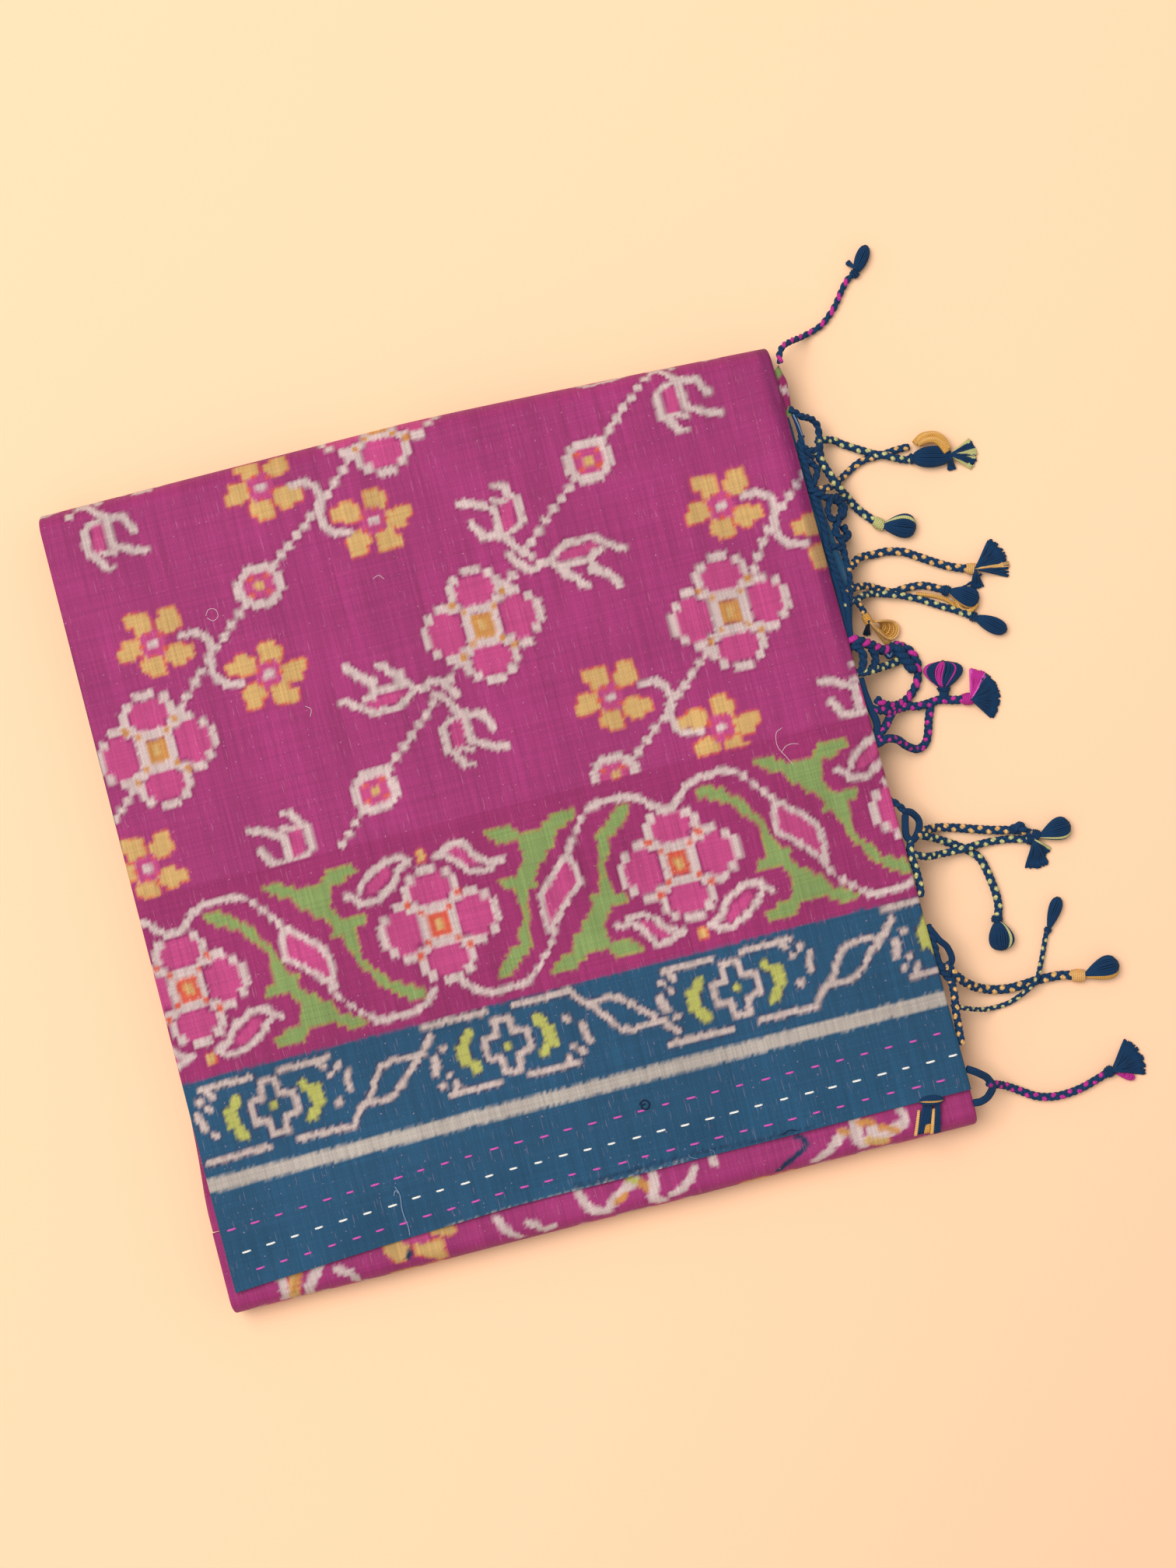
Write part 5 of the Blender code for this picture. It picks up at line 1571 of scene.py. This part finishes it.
REAR_CORD = (
    Cord(1.25, ((140.9, 141.7, 0), (141.4, 144.7, 0), (143.4, 147.4, 0), (147.1, 149.1, 0), (153.9, 151,
         0), (160.8, 153.3, 0), (167, 158.4, 0), (171.9, 164.6, 0), (175, 167.7, 0), (177.2, 168.6, 0)),
         work=Work.TWIST, accent=Yarn.MAGENTA, head=Head(55, 10.6, 4.6, 4.2, Yarn.MAGENTA, ((84, 96),),
         0.15), brushes=(Brush(110, 128, 5.0, at=0.06),)),
)
LIME_BRAIDS = (
    Cord(1.4, ((140.2, 124.1, 0), (143.7, 120.8, 0), (147.2, 119.5, 0), (149.2, 116.9, 0), (149, 112.8, 0),
         (148, 108.4, 0), (147.2, 103.4, 0)), work=Work.TWIST, accent=Yarn.NAVY),
    Cord(0.9, ((140.9, 121.9, 0), (141.5, 117.3, 0), (141.7, 112.3, 0), (142, 107.6, 0), (144.4, 104.6,
         0)), work=Work.BUNDLE, accent=Yarn.BLUE),
    Cord(1.4, ((140.3, 110.4, 0), (142.7, 108.2, 0), (146.1, 107.4, 0), (148.7, 109.8, 0)),
         work=Work.TWIST, accent=Yarn.NAVY),
    Cord(1.4, ((139.3, 106.6, 0), (142.2, 103.8, 0), (144.6, 100.7, 0), (142.8, 96.8, 0), (140.2, 93.8,
         0)), work=Work.TWIST, accent=Yarn.NAVY),
    Cord(1.4, ((141.8, 113.7, 0), (140.4, 109.5, 0), (140.5, 104.5, 0), (140.4, 99.2, 0), (140.3, 93.2,
         0)), work=Work.TWIST, accent=Yarn.NAVY),
    Cord(1.5, ((147.5, 111.1, 0), (153.9, 110.3, 0), (157.8, 107.7, 0), (163.8, 104, 0), (168, 101.5, 0),
         (171.1, 100.2, 1), (174.4, 98.5, 1), (178.1, 96.7, 0), (181.1, 96.3, 0)), head=Head(-9, 15.0, 7.6,
         5.6, fullness=0.0), neck_length=0.4, brushes=(Brush(-44, 27, 9.8, trim=Yarn.LIME, at=0.94),
         Brush(-22, 4, 10.2, Yarn.LIME, at=0.94), Brush(-105, -77, 5.4, at=0.94))),
    Cord(1.5, ((183.2, 101.3, 3.2), (186.7, 103.2, 2.6), (190.9, 102.8, 2.2), (193.6, 100.6, 2.4), (194.7,
         96.1, 3.2)), work=Work.BUNDLE, accent=Yarn.TAN, main=Yarn.GOLD),
    Cord(1.4, ((184.2, 100.8, 4), (187.1, 101.5, 3.6), (190.3, 101, 3.4), (192.5, 99, 3.6), (193.9, 95.3,
         3.6)), work=Work.BUNDLE, accent=Yarn.TAN, main=Yarn.GOLD),
    Cord(1.4, ((140.3, 93.2, 0), (145.6, 92.8, 0), (149.7, 93.5, 0), (153, 95.4, 0), (156.7, 97.4, 0),
         (160.2, 99.3, 0), (164.1, 100.4, 0), (167.7, 100.4, 0), (171.3, 100.6, 0), (175.7, 101, 0),
         (181.1, 101.1, 0)), accent=Yarn.TAN),
    Cord(1.6, ((145.8, 107.7, 0), (147.4, 102, 1), (149.1, 96.9, 2.6), (151.1, 92.1, 3.2), (154, 87.9, 1),
         (156.2, 84, 0), (158.9, 80.4, 0), (162.2, 76.8, 0)), head=Head(-14, 12.2, 9.0, 5.6, Yarn.LIME,
         ((30, 46),), 0.5), neck=Yarn.LIME, neck_length=3.4),
)
TAN_BRAIDS = (
    Cord(1.6, ((139.6, 93.9, 0), (142.6, 91.5, 0), (146.1, 89.1, 0), (150.3, 88.6, 0), (151.6, 84.8, 0),
         (149.5, 80.9, 0)), work=Work.TWIST, accent=Yarn.NAVY),
    Cord(1.4, ((140.5, 91.4, 0), (141, 85.6, 0), (141.5, 80.4, 0), (141.2, 75.8, 0), (140.7, 71.8, 0)),
         work=Work.TWIST, accent=Yarn.NAVY),
    Cord(1.3, ((147.2, 89, 0), (144.7, 84.9, 0), (145.5, 80.9, 0), (149.1, 82.1, 0), (150.3, 86.2, 0),
         (148.1, 88, 0)), work=Work.TWIST, accent=Yarn.NAVY),
    Cord(1.6, ((148, 80.5, 0), (145.6, 76.7, 0), (147.2, 73.2, 0), (150.1, 74.2, 0), (149.2, 77.7, 0)),
         work=Work.TWIST, accent=Yarn.NAVY),
    Cord(1.4, ((141.2, 75.8, 0), (140.7, 71.5, 0), (141, 67, 0), (141.4, 61.5, 0), (142.3, 55.4, 0),
         (143.3, 50.4, 0)), work=Work.TWIST, accent=Yarn.NAVY),
    Cord(1.4, ((146.7, 73.6, 0), (146.9, 69.6, 0), (146.6, 65.2, 0), (146.4, 59.9, 0), (145.6, 55, 0),
         (143.6, 49.1, 0)), work=Work.TWIST, accent=Yarn.NAVY),
    Cord(1.3, ((139.6, 70.9, 0), (143.7, 71.1, 0), (147.3, 68.8, 0)), work=Work.TWIST, accent=Yarn.NAVY),
    Cord(1.3, ((140.3, 62.1, 0), (140.6, 56, 0), (140.3, 49.3, 0), (140.1, 42.8, 0), (139.7, 36.4, 0)),
         work=Work.BUNDLE, accent=Yarn.NAVY),
    Cord(1.3, ((142.6, 56.5, 0), (142.6, 49.6, 0), (141.5, 42.5, 0), (140.9, 36.7, 0)), work=Work.BUNDLE,
         accent=Yarn.NAVY),
    Cord(1.6, ((145.9, 61.5, 0), (148.8, 62.8, 0), (151.9, 65, 0), (154.9, 65.3, 0), (158.6, 65.1, 0),
         (162.6, 65.1, 0), (166.2, 64.3, 0), (169.8, 63.1, 0), (173.7, 60.6, 0), (178.3, 57.6, 0), (183.5,
         54.4, 0), (187.9, 52.4, 0), (191.4, 51.2, 0)), accent=Yarn.TAN, neck=Yarn.TAN, neck_length=3.4,
         brushes=(Brush(-26, 48, 12.6, at=0.0), Brush(-9, -3, 12.8, Yarn.TAN, Yarn.TAN, 0.0), Brush(-112,
         -80, 7.0, at=0.0))),
    Cord(0.5, ((195.6, 48, 1.5), (192.1, 46.3, 0), (187.2, 44.8, 2)), work=Work.TWIST, accent=Yarn.NAVY),
    Cord(1.5, ((142.5, 54.2, 0), (146.8, 54.4, 0), (151.3, 54.5, 0), (155.7, 52.8, 0), (159.1, 50.8, 0),
         (162.1, 49.6, 0.8), (165.7, 49.9, 0.8), (169.8, 49.9, 0), (173.5, 49.3, 0), (177, 47.7, 0),
         (180.7, 45.6, 0)), accent=Yarn.TAN, head=Head(-31, 11.5, 7.6, 5.2, Yarn.GOLD, ((150, 180),),
         0.45), neck=Yarn.NAVY, neck_length=2.0),
    Cord(1.2, ((184.1, 40.7, 1), (184.9, 37.3, 0), (187.8, 35.6, 0), (191.1, 37.8, 1)), work=Work.BUNDLE,
         accent=Yarn.TAN, main=Yarn.GOLD),
    Cord(0.8, ((170.3, 47, 0), (176.3, 44.6, 0), (181, 41.7, 0), (184.1, 37.5, 0)), work=Work.BUNDLE,
         accent=Yarn.TAN, main=Yarn.GOLD),
    Cord(1.4, ((141.2, 49.1, 0), (146.4, 49.8, 0), (150.9, 51.1, 0), (155.5, 50.7, 0), (159.8, 49.3, 2.4),
         (164.8, 47.5, 1.2), (171.3, 44.4, 0), (177, 40.8, 0), (183.3, 37.1, 0), (188.4, 33.6, 0)),
         head=Head(-38, 12.6, 5.8, 4.4, Yarn.LIME, ((56, 66),), 0.3)),
    Cord(1.2, ((145.4, 50.5, 0), (147.1, 48.5, 0), (148.4, 45.8, 0), (148.9, 43.3, 0)), accent=Yarn.TAN,
         neck=Yarn.GOLD, neck_length=3.2, brushes=(Brush(-47, -17, 12.5, Yarn.GOLD, Yarn.TAN, 0.0, True),
         Brush(-60, -48, 11.5, Yarn.TAN, Yarn.GOLD, 0.0), Brush(-114, -86, 4.5, at=0.0))),
)
MAGENTA_BRAIDS = (
    Cord(2.0, ((139.8, 36.7, 0), (143.8, 34.8, 0), (148.1, 32.4, 0), (152.3, 29.5, 0), (155.9, 29.6, 0),
         (158.9, 30, 0)), work=Work.TWIST, accent=Yarn.MAGENTA),
    Cord(1.7, ((140.8, 33.8, 0), (143.5, 31.3, 0), (143.5, 27.8, 0), (141.8, 23.9, 0)), work=Work.TWIST,
         accent=Yarn.NAVY),
    Cord(1.6, ((147.7, 31.1, 0), (148.6, 27.3, 0), (146.4, 24.1, 0)), work=Work.TWIST, accent=Yarn.NAVY),
    Cord(1.1, ((152.7, 30, 1), (154.1, 26.6, 1), (156.9, 28.5, 1)), work=Work.BUNDLE, accent=Yarn.BLUE),
    Cord(1.6, ((138.6, 23.9, 0), (142.9, 23.1, 0), (146.7, 23.2, 0), (151, 23.5, 0), (155.1, 23.8, 0),
         (158.1, 24.6, 0))),
    Cord(2.3, ((157.8, 30, 1), (158.9, 26.2, 1), (160.7, 22.1, 1), (161.8, 19.4, 1)), work=Work.TWIST,
         accent=Yarn.NAVY),
    Cord(1.7, ((157.5, 30.4, 0), (160.2, 29.1, 0), (162.6, 26.8, 0), (164, 22.8, 0), (163.5, 18.7, 0),
         (161.9, 14.3, 0), (158.9, 11.1, 0), (155.5, 9, 0), (150.9, 8.5, 0), (146.7, 10.1, 0), (144.7,
         12.3, 0)), work=Work.TWIST, accent=Yarn.MAGENTA),
    Cord(1.5, ((140.6, 21.3, 0), (140.7, 17.1, 0), (141.1, 12.9, 0), (141.9, 7.9, 0), (142.4, 3.1, 0),
         (140.8, -0.7, 0), (141.2, -4.9, 0)), work=Work.BUNDLE, accent=Yarn.NAVY),
    Cord(1.7, ((142.2, 9.1, 0), (146.9, 7.4, 0), (152.1, 6.8, 0), (156.3, 7, 1.6), (160, 6, 1.6), (164.8,
         6.1, 0), (168.8, 6.3, 0), (173.8, 4.9, 0), (177.8, 4.2, 0)), accent=Yarn.MAGENTA,
         neck=Yarn.MAGENTA, neck_length=3.2, brushes=(Brush(43, 75, 11.0, Yarn.MAGENTA, Yarn.PINK, 0.0),
         Brush(-55, 41, 11.0, at=0.0))),
    Cord(1.9, ((170.3, 6.5, 0), (171, 8.6, 0), (171.2, 9.8, 0)), work=Work.BUNDLE, accent=Yarn.NAVY,
         head=Head(78, 9.8, 14.8, 4.6, Yarn.MAGENTA, ((0, 26), (58, 86), (119, 125)), 0.5),
         neck_length=0.8),
    Cord(1.6, ((151.8, 8, 0), (148, 4.7, 0), (144.8, 1.3, 0), (141, -1.3, 0)), accent=Yarn.MAGENTA),
    Cord(1.6, ((165.3, 5.9, 0), (163.1, 0.5, 0), (161.5, -4.5, 0), (159.7, -8, 0), (156.1, -9.5, 0), (152,
         -7.3, 0), (148.9, -4.2, 0), (144.9, -2.8, 0), (140.7, -3.6, 0)), accent=Yarn.MAGENTA),
)
CROSSED_BRAIDS = (
    Cord(1.4, ((139.5, -24.4, 0), (142.5, -27.5, 0), (144.3, -30.3, 0)), work=Work.TWIST,
         accent=Yarn.NAVY),
    Cord(1.4, ((144, -30.3, 0), (146.9, -31.6, 0), (148.9, -35.1, 0), (147.9, -38.5, 0), (144.7, -41.5, 0),
         (142.7, -39.7, 0), (143.1, -35.7, 0), (144.2, -31.8, 0)), work=Work.BUNDLE, accent=Yarn.NAVY),
    Cord(1.5, ((144.3, -40.8, 0), (142.6, -44.5, 0), (142.6, -48.1, 0), (142.9, -51.7, 0), (143, -55.9, 0),
         (142.7, -59.3, 0), (142.3, -62.2, 0)), accent=Yarn.LIME),
    Cord(1.7, ((146.5, -40.1, 0), (150.1, -39.4, 0), (155.5, -39.7, 0), (161.6, -41.3, 0), (168.6, -43.6,
         0), (175.6, -45.8, 0), (182.6, -47.6, 0), (186.7, -48.9, 0), (190.1, -51.3, 0)), accent=Yarn.TAN,
         head=Head(8, 12.4, 8.6, 5.6, Yarn.LIME, ((136, 160),), 0.65), neck_length=2.6),
    Cord(1.9, ((183.3, -47.4, 1), (185.6, -46.8, 1.4), (187.2, -48.8, 1)), work=Work.TWIST,
         accent=Yarn.NAVY),
    Cord(1.5, ((143.6, -46.6, 0), (148, -48.7, 0), (153.2, -49.5, 0), (158.3, -49.7, 2.4), (163.6, -49.8,
         3.2), (168.8, -49.7, 1), (174.5, -49.9, 0), (180.4, -50.6, 0), (185.1, -51.8, 0), (188, -52.6,
         0)), neck_length=2.4, brushes=(Brush(-116, -70, 10.6, at=0.0), Brush(-84, -40, 7.6,
         trim=Yarn.LIME, at=0.0))),
    Cord(1.6, ((147.1, -40.1, 0), (153.1, -42.9, 0), (157.5, -45.6, 0), (161.9, -48.5, 0), (165.9, -51.7,
         0), (168.7, -55.1, 0), (169.9, -59.6, 0), (170.8, -65.3, 0), (171.2, -70.8, 0), (170.6, -75.4, 0),
         (169.4, -78.1, 0)), head=Head(-90, 10.8, 9.2, 5.8, Yarn.LIME, ((30, 54),), 0.35),
         neck_length=1.8),
)
GOLD_BRAIDS = (
    Cord(1.5, ((142, -73.4, 0), (142.4, -77.9, 0), (142.5, -83.1, 0), (142.1, -88.3, 0), (143.7, -92.3, 0),
         (146.2, -96.2, 0)), work=Work.TWIST, accent=Yarn.NAVY),
    Cord(1.3, ((142.2, -74, 0), (144.8, -79.5, 0), (147.3, -83.2, 0), (147.9, -87.8, 0), (145.6, -90.1, 0),
         (142.9, -88.5, 0), (142.4, -84.8, 0)), work=Work.BUNDLE, accent=Yarn.NAVY),
    Cord(1.8, ((145, -89, 0), (147.8, -94.1, 0), (151.5, -98.3, 0), (155.4, -101.3, 0), (160.9, -103.7, 0),
         (166.7, -104.8, 0), (172.4, -104.8, 0), (177, -104.5, 0), (181.8, -104.5, 0), (187.1, -104.9, 0),
         (191.6, -106.1, 0)), accent=Yarn.TAN, head=Head(6, 13.6, 8.8, 5.8, Yarn.GOLD, ((132, 178),), 0.6),
         neck=Yarn.TAN, neck_length=4.2),
    Cord(1.0, ((143.4, -104, 0), (147.8, -106.6, 0), (154.8, -109.6, 0), (160.5, -110.5, 0), (165.8,
         -110.1, 0), (170.2, -108.4, 1.6), (174.2, -106.2, 4), (177.7, -103.5, 4), (180.7, -99.1, 0.8),
         (183.1, -94.3, 0), (185.1, -89.7, 0), (186.6, -87.4, 0)), head=Head(58, 12.6, 4.6, 3.8,
         fullness=0.5), neck_length=0.8),
    Cord(1.5, ((145.4, -94.5, 0), (145.3, -100.4, 0), (144.3, -106, 0), (143.8, -111.8, 0), (143.2, -118.8,
         0)), accent=Yarn.TAN),
)
FRONT_BRAID = (
    Cord(1.5, ((142.8, -128.2, 0), (146.4, -130.7, 0), (149.7, -133.9, 0), (150.9, -137.8, 0), (148.4,
         -140.3, 0), (145.2, -141.3, 0), (142.2, -141.1, 0)), work=Work.BUNDLE, accent=Yarn.NAVY),
    Cord(1.6, ((149.7, -136, 0), (153.1, -137.7, 0), (156.8, -139.7, 0), (162, -143.3, 0), (166.8, -146.4,
         0), (172.4, -148.1, 0), (178.3, -148.4, 0), (184.6, -147.6, 0), (190.7, -145.9, 0), (195, -144.6,
         0)), accent=Yarn.MAGENTA, neck_length=2.4, brushes=(Brush(-22, 48, 12.6, at=0.0), Brush(-40, -26,
         9.0, Yarn.MAGENTA, Yarn.MAGENTA, 0.0, True))),
)


@dataclass
class Fringe:
    """The whole end fringe: the cords of each stretch of header, one piece for each stretch."""

    packet: Packet
    stretches: tuple[tuple[str, tuple[Cord, ...]], ...] = (
        ("rear_cord", REAR_CORD),
        ("lime_braids", LIME_BRAIDS),
        ("tan_braids", TAN_BRAIDS),
        ("magenta_braids", MAGENTA_BRAIDS),
        ("crossed_braids", CROSSED_BRAIDS),
        ("gold_braids", GOLD_BRAIDS),
        ("front_braid", FRONT_BRAID),
    )

    def build(self, material: bpy.types.Material) -> list[bpy.types.Object]:
        """Builds the pieces of the fringe."""
        maker = FringeMaker(self.packet)
        made = []
        for name, cords in self.stretches:
            work = ThreadWork(name)
            for cord in cords:
                maker.lay(work, cord)
            made.append(work.piece(material))
        return made


@dataclass
class FoldTassel:
    """The small tassel that lies on the front fold, just below the selvedge."""

    at: tuple[float, float, float] = (127.1, -136, 19.0)

    def build(self, packet: Packet, material: bpy.types.Material) -> bpy.types.Object:
        """Builds the tassel.

        Args:
            packet: The folded cloth it hangs on.
            material: The threads' finish.

        Returns:
            The piece.
        """
        work = ThreadWork("fold_tassel")
        maker = FringeMaker(packet, seed=9)
        head = Head(-8, 8.6, 3.6, 3.0, Yarn.GOLD, ((50, 58), (100, 108)), 0.0)
        centre = np.array(self.at)
        way = maker.level(head.way)
        work.filling(centre, way, head)
        maker.wound(work, centre, way, Cord(1.0, (), head=head))
        locks = (((125.3, -137.3, 18.6), (121, -147.1, 17.6), 2.0, Yarn.NAVY, 15),
                 ((129, -137.7, 18.6), (126.3, -148.2, 17.6), 0.9, Yarn.NAVY, 9),
                 ((127.1, -139.3, 18.8), (124.3, -148, 17.9), 0.35, Yarn.TAN, 4),
                 ((123.8, -144.3, 18.6), (122.7, -147.3, 17.9), 0.9, Yarn.GOLD, 4),
                 ((121.7, -138.5, 18.3), (118.3, -147.3, 17.6), 0.25, Yarn.TAN, 3))
        for start, end, spread, yarn, count in locks:
            for k in range(count):
                shift = spread * (2 * k / max(1, count - 1) - 1)
                t = np.linspace(0, 1, 9)[:, None]
                path = np.array(start) * (1 - t) + np.array(end) * t
                path[:, 0] += shift * (0.75 + 0.35 * t[:, 0])
                path[:, 2] += 0.5 * np.sin(np.pi * t[:, 0]) + 0.2 * (k % 3)
                work.thread(path, 0.36, yarn, 5)
        return work.piece(material)


@dataclass
class Sewing:
    """Three rows of running stitch along the selvedge, and the loose ends that lie on the cloth, one of them a dark
    thread laid as painted shadow.
    """

    panel: UpperPanel
    rows: tuple[tuple[float, Yarn], ...] = ((22.6, Yarn.PINK), (13.5, Yarn.WHITE), (5.8, Yarn.PINK))
    pitch: float = 9.3
    dash: float = 2.9
    # Stray threads that lie on the cloth, one dark one laid on the selvedge's shadow line as painted shadow: colour,
    # radius, and their way in millimetres
    strays: tuple[tuple[Yarn, float, Points], ...] = (
        (Yarn.BLUE, 0.26, ((-72.4, -117.6), (-71.4, -121), (-72.0, -127), (-71.4, -133), (-71.6, -136.4))),
        (Yarn.BLUE, 0.3, ((-73.6, -120.8), (-72.6, -119.0), (-71.4, -120.6))),
        (Yarn.DARK, 0.3, ((22.4, -110.6), (24.2, -109.4), (25.9, -110.6), (25.4, -112.6), (23.4, -112.7),
                          (22.9, -111.2), (24.4, -110.9))),
        (Yarn.WHITE, 0.07, ((-87.6, 103.6), (-86.0, 105.6), (-83.6, 104.9), (-83.3, 102.3), (-85.4, 101.1), (-87.3, 102.6))),
        (Yarn.WHITE, 0.07, ((107.8, 10.8), (105.4, 9.6), (104.5, 6.6), (104.8, 3.6), (106.6, 0.2), (108.4, -3.4))),
        (Yarn.WHITE, 0.07, ((105.4, 2.0), (107.4, 3.8), (109.8, 4.2), (112.2, 3.5))),
        (Yarn.BLUE, 0.13, ((35.2, -133.0), (36.0, -134.4), (38.2, -135.4))),
        (Yarn.BLUE, 0.13, ((43.2, -133.2), (44.6, -134.2), (44.8, -135.6))),
        # Painted shadow: a dark thread laid on the selvedge's shadow line, darkening it
        (Yarn.DARK, 0.2, ((70.8, -134.6), (73.6, -133.6), (76.2, -134.4))),
        (Yarn.WHITE, 0.07, ((-60.4, 62.2), (-58.6, 60.6), (-59.6, 58.0))),
        (Yarn.WHITE, 0.07, ((-24.6, 101.4), (-22.2, 102.2), (-20.6, 100.4))),
    )

    def build(self, material: bpy.types.Material) -> bpy.types.Object:
        """Builds the stitches."""
        work = ThreadWork("running_stitch")
        packet = self.panel.packet
        chance = np.random.default_rng(21)
        for number, (above, yarn) in enumerate(self.rows):
            start = packet.left + 3 + 3.4 * number
            while start < packet.right_front - 5:
                length = self.dash * (0.85 + 0.3 * chance.random())
                x = start + np.linspace(0, length, 5)
                y = packet.front_edge(x) + above + chance.normal(0, 0.12) + chance.normal(0, 0.02, 5)
                z = packet.top + self.panel.lift(x, y, np.zeros(5)) + np.array([-0.2, 0.18, 0.26, 0.18, -0.2])
                work.thread(np.stack([x, y, z], axis=1), 0.4, yarn, 6)
                start += self.pitch + chance.normal(0, 0.25)
        for yarn, radius, way in self.strays:
            line = eased(np.array([(x, y, 0.0) for x, y in way]), 0.6)
            lift = self.panel.lift(line[:, 0], line[:, 1], np.zeros(len(line)))
            line[:, 2] = packet.top + lift + radius + 0.06
            work.thread(line, radius, yarn, 5)
        return work.piece(material)


@dataclass
class Studio:
    """The plain pale floor, the soft light and the camera."""

    floor_size: float = 6.0
    camera_at: tuple[float, float, float] = (0.0334, 0.0085, 1.12)
    camera_turn: float = -14.4
    lens: float = 68.54

    def build(self) -> None:
        """Builds the floor, the lights and the camera."""
        self.floor()
        self.lights()
        self.camera()

    def floor(self) -> None:
        """Adds the floor: matt cream paper, with painted light falloff that makes it a little darker and peach towards
        the front right.
        """
        bpy.ops.mesh.primitive_plane_add(size=self.floor_size, location=(0, 0, -0.0002))
        floor = bpy.context.object
        floor.name = "floor"
        made, shader = new_material("matt cream paper")
        tree = made.node_tree
        place = add_node(tree, "ShaderNodeTexCoord").outputs["Object"]
        parts = add_node(tree, "ShaderNodeSeparateXYZ", {}, {0: place})
        # Painted light falloff: the floor's colour turns darker and peach towards the front right, away from the
        # softbox
        slope = add_node(tree, "ShaderNodeMath", {"operation": "MULTIPLY_ADD"},
                         {0: parts.outputs[1], 1: -1.0, 2: parts.outputs[0]})
        share = add_node(tree, "ShaderNodeMapRange", {"interpolation_type": "SMOOTHSTEP"},
                         {"Value": slope.outputs[0], 1: 0.1, 2: 0.6})
        blend = add_node(tree, "ShaderNodeMix", {"data_type": "RGBA"},
                         {0: share.outputs[0], 6: (*linear("FAD0AC"), 1.0), 7: (*linear("F6C6A5"), 1.0)})
        tree.links.new(blend.outputs[2], shader.inputs["Base Color"])
        shader.inputs["Roughness"].default_value = 0.95
        shader.inputs["Specular IOR Level"].default_value = 0.1
        floor.data.materials.append(made)

    def lights(self) -> None:
        """Adds a wide soft light from the rear left and an even surrounding light."""
        world = bpy.data.worlds.new("studio")
        bpy.context.scene.world = world
        world.use_nodes = True
        background = world.node_tree.nodes["Background"]
        background.inputs["Color"].default_value = (1.0, 0.97, 0.93, 1.0)
        background.inputs["Strength"].default_value = 0.5
        lamp = bpy.data.lights.new("softbox", "AREA")
        lamp.shape = "SQUARE"
        lamp.size = 2.4
        lamp.energy = 120.0
        lamp.color = (1.0, 0.96, 0.9)
        softbox = bpy.data.objects.new("softbox", lamp)
        bpy.context.scene.collection.objects.link(softbox)
        softbox.location = (-0.95, 1.0, 3.3)
        aim = bpy.data.objects["softbox"].location * -1
        softbox.rotation_euler = aim.to_track_quat("-Z", "Y").to_euler()

    def camera(self) -> None:
        """Adds the camera straight above the packet, as in the photograph."""
        lens = bpy.data.cameras.new("camera")
        lens.sensor_width = 36.0
        lens.lens = self.lens
        lens.clip_start = 0.01
        camera = bpy.data.objects.new("camera", lens)
        bpy.context.scene.collection.objects.link(camera)
        camera.location = self.camera_at
        camera.rotation_euler = (0.0, 0.0, math.radians(self.camera_turn))
        bpy.context.scene.camera = camera
        bpy.context.scene.view_settings.view_transform = "Standard"


BAND_EDGE = ((121.4, 0.6), (112.0, 1.0), (103.0, 2.6), (91.0, 4.0), (78.0, 4.8), (62.0, 6.2), (50.0, 5.6),
             (40.0, 3.0), (26.0, -1.6), (0.0, -3.2), (-60.0, -3.2), (-117.0, -3.2))
CORNER_EDGE = ((141.0, 2.2), (135.0, 3.4), (128.0, 2.8), (121.8, 2.2))


def sheet_piece(
    piece: bpy.types.Object, node: str
) -> None:
    """Ties a piece of cloth to the frame.

    Args:
        piece: The cloth.
        node: The solid that it stands for.
    """
    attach(piece, "root")
    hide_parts(node)
    log.info("cloth: %s", piece.name)


def main() -> None:
    """Builds the scene piece by piece."""
    logging.basicConfig(level=logging.INFO, format="%(message)s")
    for thing in list(bpy.data.objects):
        bpy.data.objects.remove(thing)
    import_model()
    bpy.ops.object.select_all(action="DESELECT")
    Studio().build()
    silk, yarn = TussarSilk().make(), SpunYarn().make()
    packet = Packet()
    inner = HiddenPlies(packet).build(silk)
    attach(inner, "root")
    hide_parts("folded_plies")
    panel = UpperPanel(packet)
    sheet_piece(panel.build(silk), "top_sheet")
    sheet_piece(FrontPly(packet).build(silk), "front_fold")
    sheet_piece(LeftPly(packet).build(silk), "left_fold")
    corner = PalluPly(packet, "pallu_corner_ply", CORNER_EDGE, 12.0, Dye.BORDER,
                      ((137.0, 141.2, Dye.LEAF), (121.0, 124.5, Dye.LEAF), (130.0, 132.5, Dye.UNDYED)))
    sheet_piece(corner.build(silk), "pallu_corner")
    band = PalluPly(packet, "pallu_band_ply", BAND_EDGE, 0.0, Dye.BLUE)
    sheet_piece(band.build(silk), "pallu_band")
    stitches = Sewing(panel).build(yarn)
    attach(stitches, "root")
    for piece in Fringe(packet).build(yarn):
        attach(piece, "root")
        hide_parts("fringe_" + piece.name)
        log.info("fringe: %s, %d faces", piece.name, len(piece.data.polygons))
    tassel = FoldTassel().build(packet, yarn)
    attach(tassel, "root")
    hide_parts("fringe_fold_tassel")
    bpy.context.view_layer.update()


if __name__ == "__main__":
    main()
